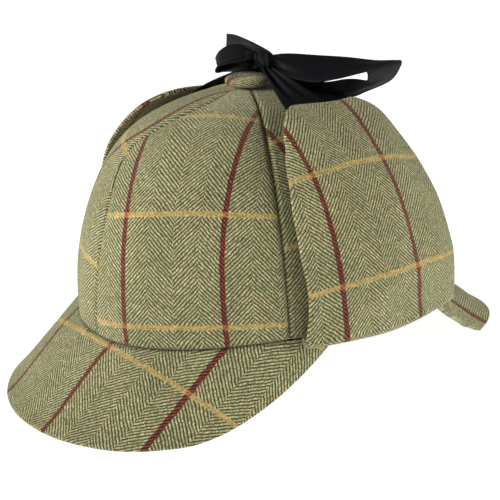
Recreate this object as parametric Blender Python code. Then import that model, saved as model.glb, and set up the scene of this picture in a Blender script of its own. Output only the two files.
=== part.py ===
"""Deerstalker hat with its ear flaps folded up and tied over the crown.

The hat stands on the level edges of its two peaks at Z = 0 and faces -Y; the
wearer's left is +X. Named sizes are in millimetres, the model is in metres.
Every sheet of cloth or ribbon is one closed solid: a grid laid on a surface
function, extruded, with the copy laid one thickness behind it.
"""
from math import atan2, cos, pi, radians, sin, sqrt, tan

import bmesh
import bpy
from mathutils import Vector

MM = 0.001

# Crown: six panels on an oval rim, under a rounded top.
HALF_WIDTH = 85.6
HALF_LENGTH = 104.0
CROWN_RISE = 116.0        # apex above the rim's level
APEX_FORWARD = 6.2        # the apex lies this far in front of the middle
SHOULDER_OUT = 2.526      # how square the shoulder is, outwards and upwards
SHOULDER_UP = 2.153
RIM_MEAN = 2.3            # the rim's height, and how it rises over the temples
RIM_TILT = 4.5
RIM_SADDLE = -5.5
RIM_LEVEL = 36.0          # the rim's level above the floor
CROWN_WALL = 2.0
TEMPLE_SEAM = 69.0        # turn from the front, in degrees
REAR_SEAM = 125.0
CROWN_TIP = 3.5           # radius at which the panels' points stop

SEAM_GAP = 0.3
SLOPE_STEP = 1e-3         # parameter step that a surface's slope is taken over
LOWEST_CLIMB = 3e-3       # just above the rim, where the crown's slope is well defined

# Button on the apex.
BUTTON_RADIUS = 12.3
BUTTON_HEIGHT = 5.6

# Peaks: stiff sheets that leave the rim and droop to the floor.
PEAK_THICKNESS = 3.0
FRONT_DROOP = 41.0
FRONT_DEPTH = 63.6        # along the cloth, runs just below the floor and is cut level
FRONT_LEVEL_TURN = 60.0   # the front edge keeps that depth up to here
FRONT_LEVEL_SHARE = 0.55  # share of the edge's points that lie along that stretch
FRONT_END_TURN = 84.0
FRONT_CORNER = 2.4        # superellipse power of the front peak's corners
FRONT_CORNER_END = radians(86.0)  # where the corner stops, short of no depth at all
BACK_DROOP = 30.0
BACK_DROOP_GAIN = 16.0    # extra droop at the back peak's sides
BACK_DROOP_WIDTH = 55.0
BACK_LEVEL_DEPTH = 68.0   # runs below the floor, where it is cut level

# Half outline of the back peak's side edge: turn from the front, depth along the cloth.
BACK_SIDE_EDGE = (
    {"turn": 130.8, "depth": 6.0},
    {"turn": 132.0, "depth": 11.0},
    {"turn": 135.0, "depth": 18.5},
    {"turn": 138.0, "depth": 25.0},
    {"turn": 141.0, "depth": 33.0},
    {"turn": 143.0, "depth": 42.0},
    {"turn": 144.5, "depth": 51.0},
    {"turn": 147.0, "depth": 60.0},
)

# Ear flaps: folded up from the rim, standing off the crown.
FLAP_THICKNESS = 3.0
FLAP_FRONT = 72.0
FLAP_REAR = 129.5
FLAP_FRONT_CLIMB = 0.735  # how far up the crown the top edge reaches
FLAP_REAR_CLIMB = 0.69
FLAP_CORNER = 0.2         # share of the width that each top corner rounds off
FLAP_CORNER_START = 0.8   # share of the height where the rounding starts
FOLD_RADIUS = 4.0         # outside of the fold at the rim
FOLD_FRONT_STANDOFF = 4.5
FOLD_REAR_STANDOFF = 8.5
FOLD_START = radians(-190.0)
FOLD_SHARE = 0.22         # share of the grid's rows that lie in the fold

# How each flap hangs: the front edge's lean forwards at mid height, in degrees, the
# stand-offs of its front, rear and top edges, and the share of the height where it
# starts to close towards the crown.
FLAPS = {
    "left": {"lean": 0.0, "front": 7.5, "rear": 13.5, "top": 10.0, "closing": 0.25},
    "right": {"lean": 11.0, "front": 14.5, "rear": 13.5, "top": 4.9, "closing": 0.5},
}
LEAN_HEIGHT = 0.45        # share of the height at which the whole lean is reached
OPENING_HEIGHT = 0.2      # share of the height over which the fold opens out
OPENING_WIDTH = 0.45      # share of the width over which the front edge's stand-off grows

# Ribbon: ties from the flaps' tips, knot, two loops and two tails.
RIBBON_THICKNESS = 1.0
KNOT_CENTRE = Vector((0.0, 1.8, 128.5))   # above the rim's level
KNOT_RADII = Vector((4.4, 4.2, 5.8))
TIE_FRONT = 84.0
TIE_BACK = 107.0
TIE_CLIMBS = (0.58, 0.70, 0.80)           # the heights on the crown that a tie passes
TIE_STANDOFFS = {"left": 4.4, "right": 1.4}
TIE_GATHER = 3.0          # half the tie's width at the knot
TIE_STOP = 5.4            # from the knot's centre to the tie's end, outwards and down
TIE_DROP = 2.6
BOW_HEADING = radians(55.8)   # the long loop's heading, from +X towards +Y

# Bow pieces by their two edges, in mm from the knot's centre: along the bow,
# up, and across it, first for the far edge and then for the near one.
BOW_COLUMNS = ("far_along", "far_up", "far_across", "near_along", "near_up", "near_across")
LONG_LOOP = (
    (6.5, 3.0, 3.0, 6.5, -0.7, -3.0),
    (15.2, 4.1, 3.0, 13.7, -5.1, -11.0),
    (31.6, 3.4, 1.0, 26.4, -7.1, -18.0),
    (45.3, 2.4, 0.0, 37.7, -5.6, -20.0),
    (58.5, 0.9, 0.0, 47.0, -3.4, -20.0),
    (69.0, 1.1, -1.0, 52.1, -2.0, -20.0),
    (73.2, 0.0, -1.0, 54.0, -2.7, -19.0),
    (72.8, -3.5, -1.0, 54.7, -5.0, -18.0),
    (67.4, -11.0, -2.0, 54.0, -8.2, -17.0),
    (55.1, -16.5, -4.0, 47.8, -8.0, -16.0),
    (47.6, -18.8, -5.0, 42.2, -8.0, -14.0),
    (36.5, -18.3, -5.0, 32.5, -9.2, -13.0),
    (20.7, -13.8, -2.0, 19.0, -9.0, -9.0),
    (8.2, -7.1, 2.0, 7.6, -4.9, -3.0),
)
SHORT_LOOP = (
    (-6.0, 4.5, 3.0, -6.0, 1.8, -3.0),
    (-9.5, 7.5, 7.0, -8.5, 2.6, -10.0),
    (-16.7, 6.8, 10.0, -15.4, 1.5, -11.0),
    (-22.0, 4.0, 10.0, -21.6, -0.4, -11.0),
    (-24.4, 0.0, 9.5, -23.8, -2.6, -11.0),
    (-21.5, -3.6, 8.0, -20.8, -4.6, -10.0),
    (-13.0, -2.6, 5.0, -12.4, -3.0, -6.5),
    (-6.2, -1.6, 2.5, -6.2, -1.8, -3.0),
)
RIGHT_TAIL = (
    (3.0, 3.8, 6.0, 2.4, -0.7, 6.0),
    (-4.3, 8.6, 9.0, -5.0, -1.6, 7.0),
    (-10.7, 11.3, 13.0, -12.0, -3.0, 9.0),
    (-14.5, 12.2, 16.0, -16.4, -3.3, 11.0),
    (-18.0, 12.0, 19.0, -20.7, -3.6, 13.0),
)
BACK_TAIL = (
    (7.0, -2.0, 5.0, 8.5, -4.0, 1.5),
    (10.5, -8.5, 15.5, 17.5, -8.0, 3.5),
    (14.0, -12.0, 26.0, 26.5, -12.5, 6.5),
    (17.5, -17.0, 36.0, 36.0, -18.3, 17.5),
    (20.5, -22.0, 44.0, 40.5, -22.5, 27.0),
)

OLIVE_TWEED = {"colour": (0.33, 0.31, 0.17, 1.0), "roughness": 0.9}
BLACK_RIBBON = {"colour": (0.012, 0.014, 0.018, 1.0), "roughness": 0.6}


def smooth_share(value):
    """Ease a share from 0 to 1, flat at both ends."""
    value = min(max(value, 0.0), 1.0)
    return value * value * (3.0 - 2.0 * value)


def blend(start, end, share):
    return start + (end - start) * share


def rim_height(turn):
    return RIM_MEAN + RIM_TILT * cos(turn) + RIM_SADDLE * cos(2.0 * turn)


def crown_point(turn, climb):
    """Outer face of the crown: turn from the front, climb 0 at the rim to 1 on top."""
    rise = climb * pi / 2.0
    spread = max(cos(rise), 0.0) ** (2.0 / SHOULDER_OUT)
    lift = max(sin(rise), 0.0) ** (2.0 / SHOULDER_UP)
    return Vector((
        HALF_WIDTH * sin(turn) * spread,
        -HALF_LENGTH * cos(turn) * spread - APEX_FORWARD * lift,
        blend(rim_height(turn), CROWN_RISE, lift),
    ))


def surface_normal(surface, across, along):
    """Unit normal of a surface function, by central differences."""
    step_across = surface(across + SLOPE_STEP, along) - surface(across - SLOPE_STEP, along)
    step_along = surface(across, along + SLOPE_STEP) - surface(across, along - SLOPE_STEP)
    return step_across.cross(step_along).normalized()


def off_crown(turn, climb, standoff):
    """A point at a distance from the crown's outer face."""
    normal = surface_normal(crown_point, turn, max(climb, LOWEST_CLIMB))
    return crown_point(turn, climb) + normal * standoff


def in_place(point):
    """From millimetres over the rim's level to metres over the floor."""
    return (point - Vector((0.0, MIDDLE, -RIM_LEVEL))) * MM


def face_outwards(body):
    """Point the faces of a closed body outwards."""
    bmesh.ops.recalc_face_normals(body, faces=body.faces[:])
    if body.calc_volume(signed=True) < 0.0:
        bmesh.ops.reverse_faces(body, faces=body.faces[:])


def behind(surface, thickness):
    """The surface that lies one thickness behind another."""
    def inner(across, along):
        return surface(across, along) - surface_normal(surface, across, along) * thickness
    return inner


def sheet_mesh(outer, inner, columns, rows):
    """A closed sheet: a grid laid on its outer face, extruded on to its inner face."""
    sheet = bmesh.new()
    bmesh.ops.create_grid(sheet, x_segments=columns, y_segments=rows, size=0.5)
    grown = bmesh.ops.extrude_face_region(sheet, geom=sheet.faces[:])
    extruded = {part for part in grown["geom"] if isinstance(part, bmesh.types.BMVert)}
    for vert in sheet.verts:
        surface = inner if vert in extruded else outer
        vert.co = in_place(surface(vert.co.x + 0.5, vert.co.y + 0.5))
    face_outwards(sheet)
    return sheet


def cut_at_floor(sheet):
    """Cut a solid level at Z = 0 and close it with a flat foot."""
    cut = bmesh.ops.bisect_plane(
        sheet, geom=sheet.verts[:] + sheet.edges[:] + sheet.faces[:], dist=1e-7,
        plane_co=(0.0, 0.0, 0.0), plane_no=(0.0, 0.0, 1.0), clear_inner=True,
    )
    rim_edges = [part for part in cut["geom_cut"] if isinstance(part, bmesh.types.BMEdge)]
    bmesh.ops.contextual_create(sheet, geom=rim_edges)
    bmesh.ops.triangulate(sheet, faces=[face for face in sheet.faces if len(face.verts) > 4])
    face_outwards(sheet)


def make_material(name, finish):
    material = bpy.data.materials.new(name)
    material.use_nodes = True
    shader = material.node_tree.nodes["Principled BSDF"]
    shader.inputs["Base Color"].default_value = finish["colour"]
    shader.inputs["Roughness"].default_value = finish["roughness"]
    shader.inputs["Metallic"].default_value = 0.0
    return material


def add_object(name, body, finish):
    """Turn a bmesh into a named object with its own material."""
    mesh = bpy.data.meshes.new(name)
    body.to_mesh(mesh)
    body.free()
    mesh.shade_smooth()
    mesh.set_sharp_from_angle(angle=radians(40.0))
    mesh.materials.append(make_material(name, finish))
    piece = bpy.data.objects.new(name, mesh)
    bpy.context.collection.objects.link(piece)
    return piece


def crown_panel(name, first_turn, last_turn, columns=8, rows=12):
    """One wedge of the crown, half a seam gap inside each of its seams."""
    tip_climb = 2.0 / pi * atan2(
        sqrt(1.0 - (CROWN_TIP / HALF_WIDTH) ** SHOULDER_OUT),
        (CROWN_TIP / HALF_WIDTH) ** (SHOULDER_OUT / 2.0),
    )

    def surface(across, along):
        climb = blend(LOWEST_CLIMB, tip_climb, along)
        radius = HALF_WIDTH * cos(climb * pi / 2.0) ** (2.0 / SHOULDER_OUT)
        inset = SEAM_GAP / 2.0 / radius
        turn = blend(radians(first_turn) + inset, radians(last_turn) - inset, across)
        return crown_point(turn, climb)

    sheet = sheet_mesh(surface, behind(surface, CROWN_WALL), columns, rows)
    return add_object(name, sheet, OLIVE_TWEED)


def crown_button():
    """Cloth-covered dome on the apex: a flattened ball with a flat underside."""
    dome = bmesh.new()
    bmesh.ops.create_uvsphere(dome, u_segments=20, v_segments=10, radius=1.0)
    bmesh.ops.bisect_plane(
        dome, geom=dome.verts[:] + dome.edges[:] + dome.faces[:], dist=1e-6,
        plane_co=(0.0, 0.0, 0.0), plane_no=(0.0, 0.0, 1.0), clear_inner=True,
    )
    bmesh.ops.contextual_create(dome, geom=[edge for edge in dome.edges if edge.is_boundary])
    foot = Vector((0.0, -APEX_FORWARD, CROWN_RISE + 2.0 * SEAM_GAP))
    for vert in dome.verts:
        ball = vert.co.copy()
        vert.co = in_place(foot + Vector((
            BUTTON_RADIUS * ball.x, BUTTON_RADIUS * ball.y, BUTTON_HEIGHT * ball.z,
        )))
    face_outwards(dome)
    return add_object("crown_button", dome, OLIVE_TWEED)


def front_depth(share):
    """Turn and depth of the front peak's edge, for a share 0 to 1 of one half."""
    if share < FRONT_LEVEL_SHARE:
        return radians(FRONT_LEVEL_TURN) * share / FRONT_LEVEL_SHARE, FRONT_DEPTH
    angle = (share - FRONT_LEVEL_SHARE) / (1.0 - FRONT_LEVEL_SHARE) * FRONT_CORNER_END
    turn = blend(FRONT_LEVEL_TURN, FRONT_END_TURN, sin(angle) ** (2.0 / FRONT_CORNER))
    return radians(turn), FRONT_DEPTH * cos(angle) ** (2.0 / FRONT_CORNER)


def peak_start(turn):
    """Where a peak leaves the crown: on the rim, a seam gap below the panels."""
    return crown_point(turn, 0.0) - Vector((0.0, 0.0, SEAM_GAP))


def front_peak(columns=44, rows=6):
    """Parallel rulings from the rim, forwards and down to the floor."""
    ruling = Vector((0.0, -cos(radians(FRONT_DROOP)), -sin(radians(FRONT_DROOP))))

    def surface(across, along):
        share = 1.0 - 2.0 * across
        turn, depth = front_depth(abs(share))
        side = 1.0 if share > 0.0 else -1.0
        return peak_start(side * turn) + ruling * depth * along

    sheet = sheet_mesh(surface, behind(surface, PEAK_THICKNESS), columns, rows)
    cut_at_floor(sheet)
    return add_object("front_peak", sheet, OLIVE_TWEED)


def back_depth(turn):
    """Depth of the back peak at a turn in degrees, read from its side edge's table."""
    for low, high in zip(BACK_SIDE_EDGE, BACK_SIDE_EDGE[1:]):
        if turn <= high["turn"]:
            share = (turn - low["turn"]) / (high["turn"] - low["turn"])
            return blend(low["depth"], high["depth"], share)
    return BACK_LEVEL_DEPTH


def back_peak(columns=36, rows=5):
    """Rulings backwards and down, steeper towards the sides, to the floor."""
    end_turn = BACK_SIDE_EDGE[0]["turn"]

    def surface(across, along):
        turn = blend(360.0 - end_turn, end_turn, across)
        start = peak_start(radians(turn))
        sideways = min(abs(start.x) / BACK_DROOP_WIDTH, 1.0)
        droop = radians(BACK_DROOP + BACK_DROOP_GAIN * sideways ** 4)
        ruling = Vector((0.0, cos(droop), -sin(droop)))
        return start + ruling * back_depth(min(turn, 360.0 - turn)) * along

    sheet = sheet_mesh(surface, behind(surface, PEAK_THICKNESS), columns, rows)
    cut_at_floor(sheet)
    return add_object("back_peak", sheet, OLIVE_TWEED)


def on_side(side, surface):
    """A surface of the left side, or its mirror image with the outer face kept."""
    if side == "left":
        return surface

    def other_side(across, along):
        point = surface(1.0 - across, along)
        return Vector((-point.x, point.y, point.z))
    return other_side


def along_curve(points, share):
    """Smooth curve through points: Catmull-Rom, with the ends carried straight on."""
    place = share * (len(points) - 1)
    index = min(max(int(place), 0), len(points) - 2)
    local = place - index
    start, end = points[index], points[index + 1]
    before = points[index - 1] if index > 0 else start * 2.0 - end
    after = points[index + 2] if index + 2 < len(points) else end * 2.0 - start
    return 0.5 * (
        start * 2.0 + (end - before) * local
        + (before * 2.0 - start * 5.0 + end * 4.0 - after) * local ** 2
        + (start * 3.0 - before - end * 3.0 + after) * local ** 3
    )


def flap_standoff(shape, share, height):
    """How far a flap's outer face stands off the crown."""
    fold = FOLD_RADIUS + blend(FOLD_FRONT_STANDOFF, FOLD_REAR_STANDOFF, share)
    side = blend(shape["front"], shape["rear"], smooth_share(share / OPENING_WIDTH))
    lower = blend(fold, side, smooth_share(height / OPENING_HEIGHT))
    closing = shape["closing"]
    return blend(lower, shape["top"], smooth_share((height - closing) / (1.0 - closing)))


def flap_surface(side, depth):
    """The face of a flap at a depth behind its outer face, drawn on the wearer's left.

    It starts with a fold under the rim and goes on up along the crown.
    """
    shape = FLAPS[side]

    def fold_point(share, progress):
        turn = radians(blend(FLAP_FRONT, FLAP_REAR, share))
        angle = blend(FOLD_START, 0.0, progress)
        radius = FOLD_RADIUS - depth
        middle = blend(FOLD_FRONT_STANDOFF, FOLD_REAR_STANDOFF, share)
        point = off_crown(turn, 0.0, middle + radius * cos(angle))
        return point + Vector((0.0, 0.0, radius * sin(angle)))

    def surface(across, along):
        if along < FOLD_SHARE:
            return fold_point(across, along / FOLD_SHARE)
        height = (along - FOLD_SHARE) / (1.0 - FOLD_SHARE)
        inset = 0.0
        if height > FLAP_CORNER_START:
            corner = (height - FLAP_CORNER_START) / (1.0 - FLAP_CORNER_START) * pi / 2.0
            height = blend(FLAP_CORNER_START, 1.0, sin(corner))
            inset = FLAP_CORNER * (1.0 - cos(corner))
        share = blend(inset, 1.0 - inset, across)
        front = FLAP_FRONT - shape["lean"] * smooth_share(height / LEAN_HEIGHT)
        turn = radians(blend(front, FLAP_REAR, share))
        climb = height * blend(FLAP_FRONT_CLIMB, FLAP_REAR_CLIMB, smooth_share(2.0 * share - 1.0))
        return off_crown(turn, climb, flap_standoff(shape, share, height) - depth)

    return surface


def ear_flap(side, columns=12, rows=18):
    outer = on_side(side, flap_surface(side, 0.0))
    inner = on_side(side, flap_surface(side, FLAP_THICKNESS))
    sheet = sheet_mesh(outer, inner, columns, rows)
    return add_object(f"ear_flap_{side}", sheet, OLIVE_TWEED)


def ribbon_tie(side, columns=4, rows=12):
    """A tie: up between crown and flap, then gathered to the knot."""
    def left_surface(across, along):
        turn = radians(blend(TIE_FRONT, TIE_BACK, across))
        points = [off_crown(turn, climb, TIE_STANDOFFS[side]) for climb in TIE_CLIMBS]
        gathered = Vector((TIE_STOP, TIE_GATHER * (2.0 * across - 1.0), -TIE_DROP))
        return along_curve(points + [KNOT_CENTRE + gathered], along)

    surface = on_side(side, left_surface)
    sheet = sheet_mesh(surface, behind(surface, RIBBON_THICKNESS), columns, rows)
    return add_object(f"ribbon_tie_{side}", sheet, BLACK_RIBBON)


def bow_point(along, up, across):
    """From the bow's own directions to the hat's, in mm."""
    heading = Vector((cos(BOW_HEADING), sin(BOW_HEADING), 0.0))
    sideways = Vector((-sin(BOW_HEADING), cos(BOW_HEADING), 0.0))
    return KNOT_CENTRE + heading * along + sideways * across + Vector((0.0, 0.0, up))


def ribbon_band(name, table, steps=2, columns=2):
    """A ribbon through the rows of a table of its two edges."""
    rows = [dict(zip(BOW_COLUMNS, row)) for row in table]
    far_edge = [bow_point(row["far_along"], row["far_up"], row["far_across"]) for row in rows]
    near_edge = [bow_point(row["near_along"], row["near_up"], row["near_across"]) for row in rows]

    def surface(across, along):
        return along_curve(far_edge, along).lerp(along_curve(near_edge, along), across)

    body_rows = steps * (len(rows) - 1)
    sheet = sheet_mesh(surface, behind(surface, RIBBON_THICKNESS), columns, body_rows)
    return add_object(name, sheet, BLACK_RIBBON)


def ribbon_knot():
    """The knot's wrap, a small upright ball."""
    knot = bmesh.new()
    bmesh.ops.create_uvsphere(knot, u_segments=12, v_segments=8, radius=1.0)
    for vert in knot.verts:
        vert.co = in_place(KNOT_CENTRE + Vector(
            [radius * value for radius, value in zip(KNOT_RADII, vert.co)]
        ))
    face_outwards(knot)
    return add_object("ribbon_knot", knot, BLACK_RIBBON)


def peak_reach(turn, droop):
    """Distance from the middle at which a peak's outer face meets the floor."""
    drop = RIM_LEVEL + rim_height(turn) - SEAM_GAP
    return HALF_LENGTH + drop / tan(radians(droop))


# The origin lies halfway between the front and back peaks' edges.
MIDDLE = (peak_reach(pi, BACK_DROOP) - peak_reach(0.0, FRONT_DROOP)) / 2.0


def main():
    for existing in list(bpy.data.objects):
        bpy.data.objects.remove(existing, do_unlink=True)

    panels = (
        ("front", 0.0, TEMPLE_SEAM),
        ("side", TEMPLE_SEAM, REAR_SEAM),
        ("back", REAR_SEAM, 180.0),
    )
    for place, first_turn, last_turn in panels:
        crown_panel(f"crown_panel_{place}_left", first_turn, last_turn)
        crown_panel(f"crown_panel_{place}_right", -last_turn, -first_turn)
    crown_button()
    front_peak()
    back_peak()

    for side in ("left", "right"):
        ear_flap(side)
        ribbon_tie(side)
    ribbon_knot()
    ribbon_band("ribbon_loop_long", LONG_LOOP)
    ribbon_band("ribbon_loop_short", SHORT_LOOP)
    ribbon_band("ribbon_tail_right", RIGHT_TAIL)
    ribbon_band("ribbon_tail_back", BACK_TAIL)


main()
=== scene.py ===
"""Looks of a deerstalker hat: herringbone tweed with a red and gold windowpane check.

The hat's form is repeated here from its solids: named sizes are in millimetres over
the rim's level, meshes are in metres over the floor. The hat faces -Y and the
wearer's left is +X. Every sheet of cloth or ribbon is a grid laid on its outer face,
extruded on to its inner face, with its place on the flat cloth in a UV map.
"""

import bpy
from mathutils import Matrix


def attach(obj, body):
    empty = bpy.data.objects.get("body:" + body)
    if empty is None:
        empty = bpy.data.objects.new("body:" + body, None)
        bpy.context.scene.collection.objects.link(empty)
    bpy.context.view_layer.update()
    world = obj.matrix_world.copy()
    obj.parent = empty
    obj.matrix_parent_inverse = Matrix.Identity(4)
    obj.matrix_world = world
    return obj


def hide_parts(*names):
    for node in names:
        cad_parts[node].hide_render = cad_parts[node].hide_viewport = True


bl_info = {
    "name": "Deerstalker Hat",
    "version": (1, 0, 0),
    "blender": (4, 5, 0),
    "location": "3D View > Sidebar > Hat",
    "description": "Builds a tweed deerstalker hat, piece by piece, and a plain studio for it",
    "category": "Object",
}

from math import atan2, cos, exp, pi, radians, sin, sqrt

import bmesh
import bpy
from bpy.props import FloatProperty, FloatVectorProperty, PointerProperty
from mathutils import Matrix, Vector, noise

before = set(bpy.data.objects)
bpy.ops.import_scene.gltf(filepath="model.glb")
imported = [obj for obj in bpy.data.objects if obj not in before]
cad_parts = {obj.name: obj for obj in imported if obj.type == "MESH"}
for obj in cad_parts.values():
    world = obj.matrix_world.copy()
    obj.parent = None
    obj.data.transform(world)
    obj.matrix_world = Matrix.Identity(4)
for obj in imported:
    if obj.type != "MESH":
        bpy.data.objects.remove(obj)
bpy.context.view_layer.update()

MM = 0.001
BODY = "root"

# Crown: six panels on an oval rim, under a rounded top.
HALF_WIDTH = 85.6
HALF_LENGTH = 104.0
CROWN_RISE = 116.0
APEX_FORWARD = 6.2
SHOULDER_OUT = 2.526      # how square the crown is, out and up: 2 for an oval
SHOULDER_UP = 2.153
RIM_MEAN = 2.3            # height of the rim over its level, and how it tilts and saddles
RIM_TILT = 4.5
RIM_SADDLE = -5.5
RIM_LEVEL = 36.0          # height of that level over the floor
MIDDLE = 2.966897         # the hat's middle lies this far behind the rim's middle
CROWN_TIP = 3.5           # the panels end this far from the crown's apex
TEMPLE_SEAM = 69.0        # turns of the seams from the front, in degrees
REAR_SEAM = 125.0
SEAM_GAP = 0.3
SEWN_GAP = 0.06           # what the gap shrinks to where two panels are sewn together
SLOPE_STEP = 1e-3
LOWEST_CLIMB = 3e-3
LEAST_BEND = 1e-6         # below this a ring is taken as straight, per mm

# Peaks: how far they droop and the turns of their edges, in degrees, and their depths.
FRONT_DROOP = 41.0
FRONT_DEPTH = 63.0
FRONT_LEVEL_TURN = 60.0
FRONT_LEVEL_SHARE = 0.55
FRONT_END_TURN = 84.0
FRONT_CORNER = 2.4
FRONT_CORNER_END = radians(86.0)
BACK_DROOP = 30.0
BACK_DROOP_GAIN = 16.0
BACK_DROOP_WIDTH = 55.0
BACK_LEVEL_DEPTH = 68.0
# The back peak's side edge: turns in degrees and depths there.
BACK_SIDE_EDGE = (
    (130.8, 6.0), (131.4, 11.0), (133.2, 18.5), (136.0, 25.0),
    (139.2, 33.0), (141.6, 42.0), (143.6, 51.0), (146.4, 60.0),
)

# Ear flaps: the turns of their edges in degrees, their climbs, and shares of their size.
FLAP_FRONT = 72.0
FLAP_REAR = 129.5
FLAP_FRONT_CLIMB = 0.7085
FLAP_REAR_CLIMB = 0.69
FLAP_CORNER = 0.2
FLAP_CORNER_START = 0.8
FOLD_RADIUS = 4.0
FOLD_FRONT_STANDOFF = 4.5
FOLD_REAR_STANDOFF = 8.5
FOLD_START = radians(-190.0)
FOLD_SHARE = 0.22
FLAPS = {
    "left": {"lean": 0.0, "front": 7.5, "rear": 13.5, "top": 10.0, "closing": 0.25},
    "right": {"lean": 11.0, "front": 14.5, "rear": 13.5, "top": 4.9, "closing": 0.5},
}
LEAN_HEIGHT = 0.45
OPENING_HEIGHT = 0.2
OPENING_WIDTH = 0.45

# Ribbon: the knot, the ties from the flaps up to it, and the bow.
KNOT_CENTRE = Vector((0.0, 1.8, 127.8))
KNOT_RADII = Vector((4.4, 5.2, 5.3))
TIE_FRONT = 83.0
TIE_BACK = 113.0
TIE_CLIMBS = (0.58, 0.70, 0.80)
TIE_STANDOFFS = {"left": 4.4, "right": 1.4}
TIE_GATHER = 3.0
TIE_STOP = 5.4
TIE_DROP = 2.6
BOW_HEADING = radians(55.8)
# The bow's bands, row by row from the knot: how far along, up and across the bow their
# far edge lies from the knot's middle, then the same of their near edge.
LONG_LOOP = (
    (6.5, 3.0, 3.0, 6.5, -0.7, -3.0),
    (15.2, 4.1, 3.0, 13.7, -5.1, -11.0),
    (31.6, 3.4, 1.0, 26.4, -7.1, -18.0),
    (45.3, 2.4, 0.0, 37.7, -5.6, -20.0),
    (58.5, 0.9, 0.0, 47.0, -3.4, -20.0),
    (69.0, 1.1, -1.0, 52.1, -2.0, -20.0),
    (73.2, 0.0, -1.0, 54.0, -2.7, -19.0),
    (72.8, -3.5, -1.0, 54.7, -5.0, -18.0),
    (67.4, -11.0, -2.0, 54.0, -8.2, -17.0),
    (55.1, -16.5, -4.0, 47.8, -8.0, -16.0),
    (47.6, -18.8, -5.0, 42.2, -8.0, -14.0),
    (36.5, -18.3, -5.0, 32.5, -9.2, -13.0),
    (20.7, -13.8, -2.0, 19.0, -9.0, -9.0),
    (8.2, -7.1, 2.0, 7.6, -4.9, -3.0),
)
SHORT_LOOP = (
    (-6.0, 4.5, 3.0, -6.0, 1.8, -3.0),
    (-9.5, 7.9, 7.0, -8.5, 2.6, -10.0),
    (-16.4, 7.2, 10.0, -15.2, 1.5, -11.0),
    (-21.4, 4.2, 10.0, -21.0, -0.2, -11.0),
    (-23.5, 0.4, 9.5, -23.0, -2.3, -11.0),
    (-21.3, 1.4, 8.5, -20.8, -2.9, -9.5),
    (-13.0, 2.2, 5.0, -12.4, -1.4, -6.5),
    (-6.2, 0.6, 2.5, -6.2, -0.9, -3.0),
)
RIGHT_TAIL = (
    (7.0, 2.6, 0.5, 5.0, -2.5, 0.5),
    (3.4, 5.4, 3.5, 1.4, -0.8, 5.0),
    (-3.8, 8.9, 7.5, -5.0, -4.4, 7.0),
    (-10.7, 11.3, 13.0, -12.0, -6.3, 9.0),
    (-14.5, 12.2, 16.0, -16.4, -7.0, 11.0),
    (-18.0, 12.0, 19.0, -20.7, -7.4, 13.0),
)
BACK_TAIL = (
    (7.0, -2.0, 5.0, 8.5, -4.0, 0.5),
    (11.0, -6.5, 10.0, 17.5, -9.6, -7.0),
    (19.0, -11.0, 10.0, 27.5, -16.2, -16.0),
    (28.0, -14.5, 7.0, 37.0, -17.6, -19.5),
    (38.0, -16.0, 5.0, 47.0, -17.0, -20.5),
)
RIBBON_WIDTH = 22.0

# The crown's panels: the turns of their seams in degrees, and where the nearest red and
# gold stripes cross the panel's own flat pattern, in mm.
PANELS = (
    {"place": "front_left", "turns": (0.0, TEMPLE_SEAM), "red": 25.9, "gold": 9.6},
    {"place": "front_right", "turns": (-TEMPLE_SEAM, 0.0), "red": 13.0, "gold": 38.0},
    {"place": "side_left", "turns": (TEMPLE_SEAM, REAR_SEAM), "red": -27.5, "gold": 46.0},
    {"place": "side_right", "turns": (-REAR_SEAM, -TEMPLE_SEAM), "red": 14.0, "gold": 24.0},
    {"place": "back_left", "turns": (REAR_SEAM, 180.0), "red": 8.0, "gold": 30.0},
    {"place": "back_right", "turns": (-180.0, -REAR_SEAM), "red": -20.0, "gold": 52.0},
)

# Where the crown is flatter than its solid: middle and reach of each hollow, as turns in
# degrees and climbs, and its depth in mm.
CROWN_HOLLOWS = (
    {"turn": -36.0, "across": 30.0, "climb": 0.33, "up": 0.28, "depth": 1.3},
    {"turn": -62.0, "across": 34.0, "climb": 0.74, "up": 0.14, "depth": 2.3},
)

# Turn of the front seam in degrees, at climbs from the rim to the top.
FRONT_SEAM_TURNS = (2.0, 3.2, 3.8, 3.2, 1.5, -2.6, -2.6, 6.8, 17.0, 22.0, 6.0)

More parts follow.
